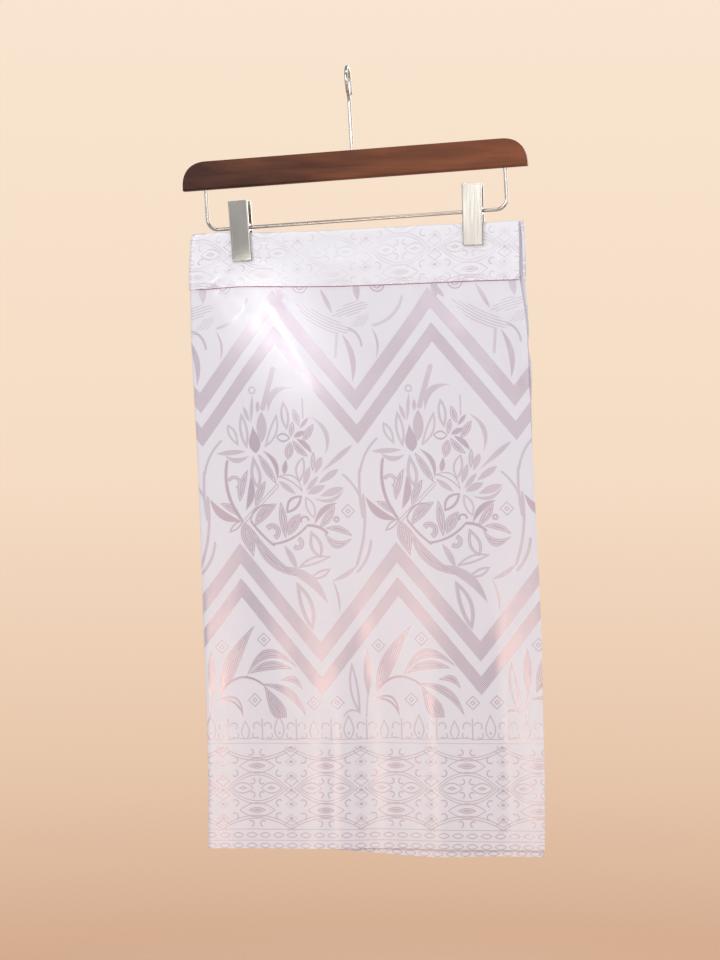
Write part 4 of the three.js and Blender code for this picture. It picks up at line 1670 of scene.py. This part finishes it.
PLIES: dict[str, Ply] = {
    "front_cloth": Ply("front_hem", FRONT_CREASES, "front_panel", -1.0, (3.0, 346.0)),
    "back_cloth": Ply("back_hem", BACK_CREASES, "back_panel", 1.0, (3.0, 336.0)),
    "underlap_cloth": Ply("back_hem", (), "underlap_panel"),
}

# The strip's parts lie this share of the width apart, and the front goes this share round the back.
SEAT_GAP = 0.3 / 340
RETURN_ACROSS = 0.03


@dataclass
class Panels:
    """The three plies below the band: the flap, the back and the underlap, in millimetres.

    underlap_start and underlap_end are the shares of the width between which the inner ply lies.
    """

    finishes: Finishes
    band_overlap: float = 57.0
    below_top: float = 2.0
    hem_height: float = 9.0
    seam_drop: float = 0.4
    fine_rows: int = 190
    underlap_start: float = 0.93
    underlap_end: float = 0.14

    def columns(self) -> dict[str, list[Column]]:
        """The columns of each ply."""
        return {
            "front_cloth": [
                *flat(Stretch.FRONT, 1, 0, 150),
                *turned(Stretch.LEFT_TURN, -QUARTER, QUARTER, 0),
                *flat(Stretch.BACK, 0, RETURN_ACROSS, 4),
            ],
            "back_cloth": [
                *flat(Stretch.BACK, RETURN_ACROSS + SEAT_GAP, 1, 130),
                *turned(Stretch.RIGHT_TURN, QUARTER, -QUARTER, 1),
                *flat(Stretch.UNDERLAP, 1, self.underlap_start + SEAT_GAP, 6),
            ],
            "underlap_cloth": flat(Stretch.UNDERLAP, self.underlap_start, self.underlap_end, 60),
        }

    def rungs(self, hem: str) -> list[Rung]:
        """The rows of a ply, from inside the band to its hem."""
        made = []
        for level in (-1.0, -0.6, -0.25, *np.linspace(0, 1, self.fine_rows)):
            edge, drop = ("top", self.band_overlap) if level < 0 else (hem, DRAPE.drop)
            below = self.below_top * max(0.0, -level)
            made.append(Rung(edge, abs(level), -below, DRAPE.ply_depth, 0.0, level * drop))
        return made

    @staticmethod
    def pick(across: np.ndarray, down: np.ndarray) -> np.ndarray:
        """Which of the three panel materials each face takes."""
        return np.where(down > BORDER.top, 2, np.where(down > ZIGZAG.parting_at(across), 1, 0))

    @staticmethod
    def stitch_line(
        columns: Sequence[Column], ply: Ply, edge: str, above: float
    ) -> Callable[[np.ndarray], np.ndarray]:
        """The path of a row of stitches on the outside of a ply, a height above one of its edges."""
        arcs = np.array([abs(c.along_strip - columns[0].along_strip) for c in columns])
        places = []
        for column in columns:
            seam, end = level_at("seam", column.across), level_at(ply.hem, column.across)
            z = np.array([level_at(edge, column.across) + above])
            x, y = column.plan(z, np.array([DRAPE.ply_depth + ClothMesh.WALL / 2]))
            v = np.array([(float(z[0]) - seam) / (end - seam) * DRAPE.drop])
            lift = DRAPE.crease(np.array([column.along_strip]), v, ply.creases) * column.outward
            places.append([x[0], (y + DRAPE.soft_fold(x, z) + lift)[0], z[0]])
        table = np.array(places)

        def path(at: np.ndarray) -> np.ndarray:
            """Points at distances along the hem."""
            return np.stack([np.interp(at, arcs, table[:, k]) for k in range(3)], -1)

        return path

    def build(self) -> list[bpy.types.Object]:
        """Build the plies and sew their hems."""
        made = []
        for name, columns in self.columns().items():
            ply = PLIES[name]
            cloth = ClothMesh(name, columns)
            piece = cloth.build(self.rungs(ply.hem), ply.creases, self.finishes.panel, self.pick)
            stand(piece, "panel_satin", ply.node)
            extras = self.sew(name, columns, ply) if ply.out else []
            made.append(piece)
        return made

    def sew(self, name: str, columns: Sequence[Column], ply: Ply) -> list[bpy.types.Object]:
        """Sew a ply's hem, and the seam that holds it in the band; the seam's long, dark stitches are also
        painted shade under the band's lower edge.

        Args:
            name: The ply's name.
            columns: Its columns.
            ply: What it has.

        Returns:
            The two rows of stitches.
        """
        # The seam's stitches are long, thick and dark, almost one line: stitching and painted shade under
        # the band's edge.
        seam = Stitching(length=2.9, thick=0.8, sink=0.2)
        lines = (
            ("hem", Stitching(), ply.hem, self.hem_height, self.finishes.thread),
            ("seam", seam, "seam", -self.seam_drop, self.finishes.seam_thread_painted_shade),
        )
        made = []
        for kind, stitching, edge, above, thread in lines:
            path = self.stitch_line(columns, ply, edge, above)
            row = stitching.row(f"{name}_{kind}_stitches", path, ply.out, *ply.sewn)
            made.append(stand(dress(row, thread), "panel_satin"))
        return made


@dataclass
class Waistband:
    """The band: a strip folded over the top edge, its back, and the underlap's end of it."""

    finishes: Finishes
    back_end: float = 0.984
    underlap_start: float = 0.985
    underlap_end: float = 0.999
    height: float = 58.0
    leg: float = 56.0
    below_top: float = 0.5
    leg_rows: int = 26
    roll_steps: int = 8

    def folded(self) -> list[Rung]:
        """The rows of the folded strip: outer leg, roll at the top and inner leg."""
        middle = (DRAPE.band_outer + DRAPE.band_inner) / 2
        roll = (DRAPE.band_outer - DRAPE.band_inner) / 2
        stations = [(up, 0.0) for up in np.linspace(0, 1, self.leg_rows)[:-1]]
        stations += [(1.0, math.pi * k / self.roll_steps) for k in range(self.roll_steps + 1)]
        stations += [(up, math.pi) for up in (0.75, 0.5, 0.25, 0.0)]
        made = []
        for up, lean in stations:
            above = roll * math.sin(lean) - up * (roll + self.below_top)
            legs = 2 - up if up < 1 and lean > 0 else up
            chart = -(self.leg * legs + roll * lean)
            made.append(Rung("top", up, above, middle + roll * math.cos(lean), lean, chart))
        return made

    def build(self) -> list[bpy.types.Object]:
        """Build the band's three stretches."""
        rungs = self.folded()
        front = [
            *flat(Stretch.FRONT, 1, 0, 160),
            *turned(Stretch.LEFT_TURN, -QUARTER, QUARTER, 0),
            *flat(Stretch.BACK, 0, RETURN_ACROSS, 4),
        ]
        back = flat(Stretch.BACK, RETURN_ACROSS + SEAT_GAP, self.back_end, 120)
        pieces = []
        for name, columns, creases, node in (
            ("waistband_cloth", front, BAND_CREASES, "waistband_front"),
            ("waistband_back_cloth", back, BAND_BACK_CREASES, "waistband_back"),
        ):
            piece = ClothMesh(name, columns).build(rungs, creases, self.finishes.band)
            pieces.append(stand(piece, "waistband_satin", node))
        pieces.append(self.underlap_band())
        return pieces

    def underlap_band(self) -> bpy.types.Object:
        """The short end of the band that shows beyond the flap, round the right fold."""
        columns = [
            *flat(Stretch.BACK, self.underlap_start, 1, 4),
            *turned(Stretch.RIGHT_TURN, QUARTER, -QUARTER, 1),
            *flat(Stretch.UNDERLAP, 1, self.underlap_end, 1),
        ]
        ups = np.linspace(0, 1, 24)
        rungs = [Rung("top", up, 0.0, DRAPE.band_outer, 0.0, -self.height * up) for up in ups]
        piece = ClothMesh("waistband_underlap_cloth", columns).build(rungs, (), self.finishes.band)
        return stand(piece, "waistband_satin", "waistband_underlap")


@dataclass
class ClosureTape:
    """The hook-and-loop tape inside the free end of the band."""

    finishes: Finishes
    thickness: float = 0.8

    def build(self) -> bpy.types.Object:
        """Build the tape as a thin pad with a nubbly edge."""
        low, high = (Vector(corner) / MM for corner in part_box("closure_tape"))
        middle = (low + high) / 2
        size = high - low
        bench = Bench("closure_tape_pad").box((size.x, self.thickness, size.z), middle).pick_all()
        bpy.ops.mesh.subdivide(number_cuts=6)
        bench.pick_faces(lambda at, normal: normal.x > 0.9)
        bpy.ops.mesh.subdivide(number_cuts=2)
        bench.pick_edges(lambda a, b: abs(a.z - high.z) < 0.01 and abs(b.z - high.z) < 0.01)
        bench.bevel(0.2, 2)
        piece = bench.settle()
        return stand(dress(piece, self.finishes.tape), "closure_tape", "closure_tape")


# ---- the hanger --------------------------------------------------------------------------------


@dataclass
class Bar:
    """The wooden bar with rounded shoulders, in millimetres; top is the height of its top edge."""

    finishes: Finishes
    length: float = 356.4
    height: float = 28.9
    thickness: float = 13.0
    top: float = -82.7
    shoulder: float = 26.4
    edge: float = 2.2

    def build(self) -> bpy.types.Object:
        """Build the bar from a block: its shoulders are bevelled and both faces rounded over."""
        middle = (0, 0, self.top - self.height / 2)
        core = self.thickness - 2 * self.edge
        bench = Bench("hanger_bar_wood").box((self.length, core, self.height), middle)
        half = self.length / 2
        bench.pick_edges(
            lambda a, b: abs(a.x - b.x) < 0.1 and abs(a.x) > half - 0.1 and min(a.z, b.z) > self.top - 0.1
        )
        bench.bevel(self.shoulder, 14, profile=0.56)
        for side in (-1, 1):
            bench.pick_faces(lambda at, normal: normal.y * side > 0.9).round_over(self.edge, (0, side, 0))
        piece = bench.settle(TILT, smooth=40)
        return stand(dress(piece, self.finishes.wood), "stained_wood", "hanger_bar")


@dataclass
class Hook:
    """The chromed hook, bent from rod in one plane, with a ball tip."""

    finishes: Finishes
    rod: float = 1.8
    radius: float = 14.0
    neck: float = 10.0
    tip_drop: float = 10.5
    ball: float = 2.3
    bar_top: float = -82.7
    socket: float = 14.0
    swivel: float = math.radians(3)

    def build(self) -> bpy.types.Object:
        """Build the hook: a shank pulled up, its neck and bend spun, and the tip pulled down."""
        middle = -(self.radius - self.rod)
        rise = math.sqrt((self.neck + self.radius) ** 2 - self.neck**2)
        neck_height = middle - rise
        neck_turn = math.atan2(rise, self.neck)
        start = self.bar_top - self.socket
        bench = Bench("hanger_hook_rod").disc(self.rod, (0, 0, start), (0, 0, 1))
        bench.pull((0, 0, neck_height - start))
        bench.spin(neck_turn, (0, -self.neck, neck_height), (1, 0, 0), 10)
        bench.spin(-(math.pi + neck_turn), (0, 0, middle), (1, 0, 0), 40)
        bench.pull((0, 0, -self.tip_drop))
        rod = bench.settle()
        tip = Bench("hanger_hook_tip").ball(self.ball, (0, self.radius, middle - self.tip_drop)).settle()
        piece = join("hanger_hook_rod", [rod, tip])
        piece.data.transform(TILT @ Matrix.Rotation(self.swivel, 4, "Z"))
        return stand(dress(piece, self.finishes.chrome), "wire_chrome", "hanger_hook")


@dataclass
class RailWire:
    """The wire below the bar that the clips slide on."""

    finishes: Finishes
    rod: float = 1.8
    half_width: float = 155.0
    bend: float = 11.0
    bar_bottom: float = -111.6
    drop: float = 41.6
    socket: float = 9.0

    @property
    def height(self) -> float:
        """The height of its level stretch."""
        return self.bar_bottom - self.drop

    def build(self) -> bpy.types.Object:
        """Build the wire: down, round, across, round and up."""
        top = self.bar_bottom + self.socket
        bench = Bench("hanger_wire_rod").disc(self.rod, (-self.half_width, 0, top), (0, 0, -1))
        bench.pull((0, 0, self.height + self.bend - top))
        bench.spin(-QUARTER, (self.bend - self.half_width, 0, self.height + self.bend), (0, 1, 0), 10)
        bench.pull((2 * (self.half_width - self.bend), 0, 0))
        bench.spin(-QUARTER, (self.half_width - self.bend, 0, self.height + self.bend), (0, 1, 0), 10)
        bench.pull((0, 0, top - self.height - self.bend))
        piece = bench.settle(TILT)
        return stand(dress(piece, self.finishes.chrome), "wire_chrome", "hanger_wire")


@dataclass
class Clip:
    """A spring clip: two splayed plates, two rubber pads and a spring round the wire."""

    finishes: Finishes
    name: str
    x: float
    lean: float
    wire_height: float
    width: float = 20.0
    top: float = 27.6
    bottom: float = -33.8
    sheet: float = 1.0
    flange: float = 3.0
    corner: float = 1.1
    splay: float = math.radians(1.4)
    ear: float = 3.6
    ear_hole: float = 2.4
    pad: float = 2.0
    pad_top: float = -4.6
    pad_bottom: float = -33.0
    pad_edge: float = 0.35
    face: float = 5.35
    gap: float = 0.3
    coil_radius: float = 2.9
    coil_wire: float = 0.5
    coil_half: float = 6.2
    coil_turns: float = 4.5
    leg_top: float = 14.0

    @property
    def plate_face(self) -> float:
        """How far a plate's outer face is from the wire, at the wire's height."""
        drop = -self.pad_bottom * math.sin(self.splay)
        return (self.face + self.pad + self.gap + self.sheet + drop) / math.cos(self.splay)

    @property
    def on_wire(self) -> Matrix:
        """Where the clip goes: leant on the wire, and tilted with the bar."""
        wire = Matrix.Translation(Vector((self.x, 0, self.wire_height)) * MM)
        return TILT @ wire @ Matrix.Rotation(self.lean, 4, "Y")

    def place(self, half_turn: float) -> Matrix:
        """Where a jaw goes: splayed, turned to its side and set on the wire."""
        return self.on_wire @ Matrix.Rotation(half_turn, 4, "Z") @ Matrix.Rotation(self.splay, 4, "X")

    def plate(self, side: str, ear_middle: float, half_turn: float) -> bpy.types.Object:
        """One plate: a shallow channel with two ears round the wire."""
        face = self.plate_face
        height = self.top - self.bottom
        bench = Bench(f"{self.name}_{side}_jaw").box(
            (self.width, self.flange, height), (0, -face + self.flange / 2, (self.top + self.bottom) / 2)
        )
        half = self.width / 2 - 0.05
        bench.pick_edges(
            lambda a, b: a.y < -face + 0.1 and b.y < -face + 0.1 and abs(a.x) > half and abs(a.x - b.x) < 0.1
        )
        bench.bevel(self.corner, 5)
        back = -face + self.flange
        bench.pick_faces(lambda at, normal: normal.y > 0.9 and at.y > back - 0.1)
        bench.inset(self.sheet)
        bench.pull((0, self.sheet - self.flange, 0))
        shell = bench.settle(smooth=30)
        parts = [shell]
        for sign in (-1, 1):
            at = (sign * ear_middle - self.sheet / 2, 0, 0)
            ear = Bench(f"{self.name}_{side}_ear").disc(self.ear, at, (1, 0, 0), 28).pick_all()
            ear.inset(self.ear - self.ear_hole)
            bpy.ops.mesh.delete(type="FACE")
            parts.append(ear.pick_all().pull((self.sheet, 0, 0)).settle())
            web = Bench(f"{self.name}_{side}_web").box(
                (self.sheet, face - self.ear_hole - 0.8, 2 * self.ear - 0.4),
                (sign * ear_middle, -(face + self.ear_hole) / 2 + 0.1, 0),
            )
            parts.append(web.settle())
        piece = join(f"{self.name}_{side}_jaw", parts)
        piece.data.transform(self.place(half_turn))
        return stand(dress(piece, self.finishes.steel), "clip_steel", f"{self.name}_{side}_plate")

    def rubber(self, side: str, half_turn: float) -> bpy.types.Object:
        """One jaw pad, its edges rounded."""
        middle = self.plate_face - self.sheet - self.gap - self.pad / 2
        width = self.width - 2 * (self.sheet + self.gap)
        height = self.pad_top - self.pad_bottom
        bench = Bench(f"{self.name}_{side}_rubber").box(
            (width, self.pad, height), (0, -middle, (self.pad_top + self.pad_bottom) / 2)
        )
        piece = bench.pick_all().bevel(self.pad_edge, 2).settle(self.place(half_turn))
        return stand(dress(piece, self.finishes.rubber), "clip_rubber", f"{self.name}_{side}_pad")

    def spring(self) -> bpy.types.Object:
        """The torsion spring round the wire, its legs up inside the plates."""
        half, radius = self.coil_half, self.coil_radius
        reach = self.plate_face - self.sheet - self.gap - self.coil_wire
        steps = int(self.coil_turns * 20)
        points = [(-half, -reach, self.leg_top)]
        for k in range(steps + 1):
            angle = math.pi + TURN * self.coil_turns * k / steps
            points.append((lerp(-half, half, k / steps), radius * math.cos(angle), radius * math.sin(angle)))
        points.append((half, reach, self.leg_top))
        curve = bpy.data.curves.new(f"{self.name}_coil", "CURVE")
        curve.dimensions = "3D"
        curve.bevel_depth = self.coil_wire * MM
        curve.bevel_resolution = 2
        curve.use_fill_caps = True
        line = curve.splines.new("POLY")
        line.points.add(len(points) - 1)
        for target, point in zip(line.points, points):
            target.co = (*(Vector(point) * MM), 1)
        choose(add_object(f"{self.name}_coil", curve))
        bpy.ops.object.convert(target="MESH")
        piece = bpy.context.active_object
        piece.data.transform(self.on_wire)
        smooth_over(50)
        return stand(dress(piece, self.finishes.spring), "clip_spring", f"{self.name}_spring")

    def build(self) -> list[bpy.types.Object]:
        """Build the clip's pieces."""
        outer = (self.width - self.sheet) / 2
        inner = outer - self.sheet - self.gap
        made = []
        for side, ear_middle, half_turn in (("front", outer, 0.0), ("back", inner, math.pi)):
            made.append(self.plate(side, ear_middle, half_turn))
            made.append(self.rubber(side, half_turn))
        made.append(self.spring())
        return made


# ---- studio ------------------------------------------------------------------------------------


@dataclass(frozen=True)
class Lamp:
    """One soft rectangular light that looks at a point; roll and spread are in degrees."""

    name: str
    at: Sequence[float]
    aim: Sequence[float]
    size: tuple[float, float]
    power: float
    colour: Tint
    roll: float = 0.0
    spread: float = 180.0

    def hang(self) -> None:
        """Hang the light in the scene."""
        data = bpy.data.lights.new(self.name, "AREA")
        data.shape = "RECTANGLE"
        data.size, data.size_y = self.size
        data.spread = math.radians(self.spread)
        data.energy = self.power
        data.color = self.colour
        light = add_object(self.name, data)
        light.location = self.at
        facing = (Vector(self.aim) - Vector(self.at)).to_track_quat("-Z", "Y").to_matrix()
        light.rotation_euler = (facing @ Matrix.Rotation(math.radians(self.roll), 3, "Z")).to_euler()
        light.visible_camera = False


MIDDLE = (0, 0, -0.45)

LAMPS = (
    Lamp("key", (-1.6, -2.4, 0.9), MIDDLE, (1.6, 1.6), 33, (0.97, 0.985, 1.0)),
    Lamp("fill", (1.7, -2.3, 0.1), MIDDLE, (1.6, 1.6), 16, (0.96, 0.98, 1.0)),
    Lamp("band card", (-0.04, -1.95, -0.08), (-0.04, 0, -0.12), (0.36, 0.2), 0.72, (1.0, 1.0, 1.0)),
    Lamp("bar card", (0.14, -1.95, 0.2), (0.17, 0, -0.1), (0.24, 0.16), 1.5, (1.0, 0.93, 0.86)),
    Lamp("bounce right", (1.5, 0.1, -0.4), MIDDLE, (0.8, 1.2), 3.5, (1.0, 0.76, 0.62)),
    Lamp("bounce left", (-1.5, 0.0, -0.5), MIDDLE, (0.8, 1.2), 2.2, (1.0, 0.82, 0.7)),
    Lamp("glow", (-0.3, -1.95, -0.98), (0.02, 0, -0.65), (0.26, 0.42), 3.0, (1.0, 0.7, 0.46)),
    Lamp("top", (0.1, -0.35, 0.9), (0, 0, -0.1), (0.7, 0.3), 2.4, (1.0, 0.96, 0.92)),
    Lamp("behind", (0.8, 2.2, 0.5), MIDDLE, (1.4, 1.4), 20, (1.0, 0.97, 0.94)),
)


@dataclass
class Studio:
    """The camera, the soft lights, the pale surroundings and the floor."""

    camera_at: tuple[float, float, float] = (0.41559, -2.28258, -0.31708)
    pitch: float = 87.5
    yaw: float = 10.0
    lens: float = 85.0
    sensor: float = 36.0
    floor_height: float = -1.15
    floor_reach: float = 1.3
    floor_solid: float = 0.55
    room_light: float = 0.42
    sheen_distance: float = 0.5
    sheen_spots: tuple[tuple[float, float, float], ...] = (
        (-0.088, -0.244, 0.0017),
        (-0.062, -0.280, 0.0015),
        (-0.038, -0.316, 0.0008),
    )

    def camera(self) -> None:
        """Set the camera at its place."""
        data = bpy.data.cameras.new("camera")
        data.lens = self.lens
        data.sensor_fit = "VERTICAL"
        data.sensor_height = self.sensor
        data.clip_end = 60
        camera = add_object("camera", data)
        camera.location = self.camera_at
        camera.rotation_euler = (math.radians(self.pitch), 0, math.radians(self.yaw))
        bpy.context.scene.camera = camera

    def sheen(self) -> list[Lamp]:
        """The beams of a slanting streak of sheen on the upper left.

        Each stands where the cloth mirrors it towards the camera. Its spot is given by the x and z
        of the place on the cloth, in metres, and its power.
        """
        camera = Vector(self.camera_at)
        lamps = []
        for number, (x, z, power) in enumerate(self.sheen_spots):
            spot = Vector((x, 0, z))
            at = spot + (spot - camera) * (self.sheen_distance / -camera.y)
            at.y = -self.sheen_distance
            lamps.append(Lamp(f"sheen {number}", at, spot, (0.03, 0.045), power, (0.95, 1.0, 0.98), -34, 13))
        return lamps

    def surroundings(self) -> None:
        """Fill the world with a warm pale gradient for the eye and an even pale light."""
        world = bpy.data.worlds.new("surroundings")
        bpy.context.scene.world = world
        world.use_nodes = True
        draft = Draft(world.node_tree)
        world.node_tree.nodes.clear()
        height = draft.parts(draft.node("ShaderNodeNewGeometry").outputs["Incoming"])[2] * -1.0
        ramp = draft.node("ShaderNodeValToRGB")
        draft.feed(ramp.inputs[0], height.times_plus(2.4, 0.6))
        stops = ramp.color_ramp.elements
        stops.new(0.2).color = srgb(231, 199, 172)
        stops.new(0.5).color = srgb(245, 220, 196)
        stops[0].color = srgb(211, 170, 141)
        stops[-1].color = srgb(249, 229, 208)
        mix = draft.node("ShaderNodeMixShader")
        draft.feed(mix.inputs[0], draft.node("ShaderNodeLightPath").outputs["Is Camera Ray"])
        lights = ((srgb(240, 241, 248), self.room_light), (ramp.outputs[0], 1.0))
        for socket, (colour, power) in zip(mix.inputs[1:], lights):
            background = draft.node("ShaderNodeBackground")
            draft.feed(background.inputs[0], colour)
            draft.feed(background.inputs[1], power)
            draft.feed(socket, background.outputs[0])
        draft.feed(draft.node("ShaderNodeOutputWorld").inputs[0], mix.outputs[0])

    def floor(self) -> None:
        """Lay a plain pale floor that fades out with distance."""
        deselect()
        bpy.ops.mesh.primitive_circle_add(vertices=96, radius=self.floor_reach, fill_type="NGON")
        floor = bpy.context.active_object
        floor.name = "floor"
        floor.data.transform(Matrix.Translation((0, 0, self.floor_height)))
        floor.location = (0, 0, 0)
        material, draft, shader = new_material("floor_plain")
        at = draft.node("ShaderNodeTexCoord").outputs["Object"]
        x, y, _ = draft.parts(at)
        away = draft.math("SQRT", y.times_plus(y, x * x))
        shade = draft.blend(draft.noise(at, 6.0) * 0.2, srgb(246, 208, 176), srgb(240, 200, 168))
        fade = 0.6
        left = away.times_plus(-1 / fade, (self.floor_solid + fade) / fade).share()
        draft.fill(shader, {"Base Color": shade, "Roughness": 0.9, "Alpha": left})
        floor.data.materials.append(material)

    def build(self) -> None:
        """Set up the whole studio."""
        scene = bpy.context.scene
        scene.view_settings.view_transform = "Standard"
        scene.view_settings.look = "None"
        self.camera()
        for lamp in (*LAMPS, *self.sheen()):
            lamp.hang()
        self.surroundings()
        self.floor()


def main() -> None:
    """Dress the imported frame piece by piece."""
    logging.basicConfig(level=logging.INFO, format="%(name)s: %(message)s")
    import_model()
    Studio().build()
    finishes = Finishes(Effects())
    Bar(finishes).build()
    Hook(finishes).build()
    wire = RailWire(finishes)
    wire.build()
    Clip(finishes, "clip_left", -120.0, math.radians(-0.85), wire.height).build()
    Clip(finishes, "clip_right", 120.3, math.radians(2.1), wire.height).build()
    ClosureTape(finishes).build()
    Waistband(finishes).build()
    Panels(finishes).build()


if __name__ == "__main__":
    main()
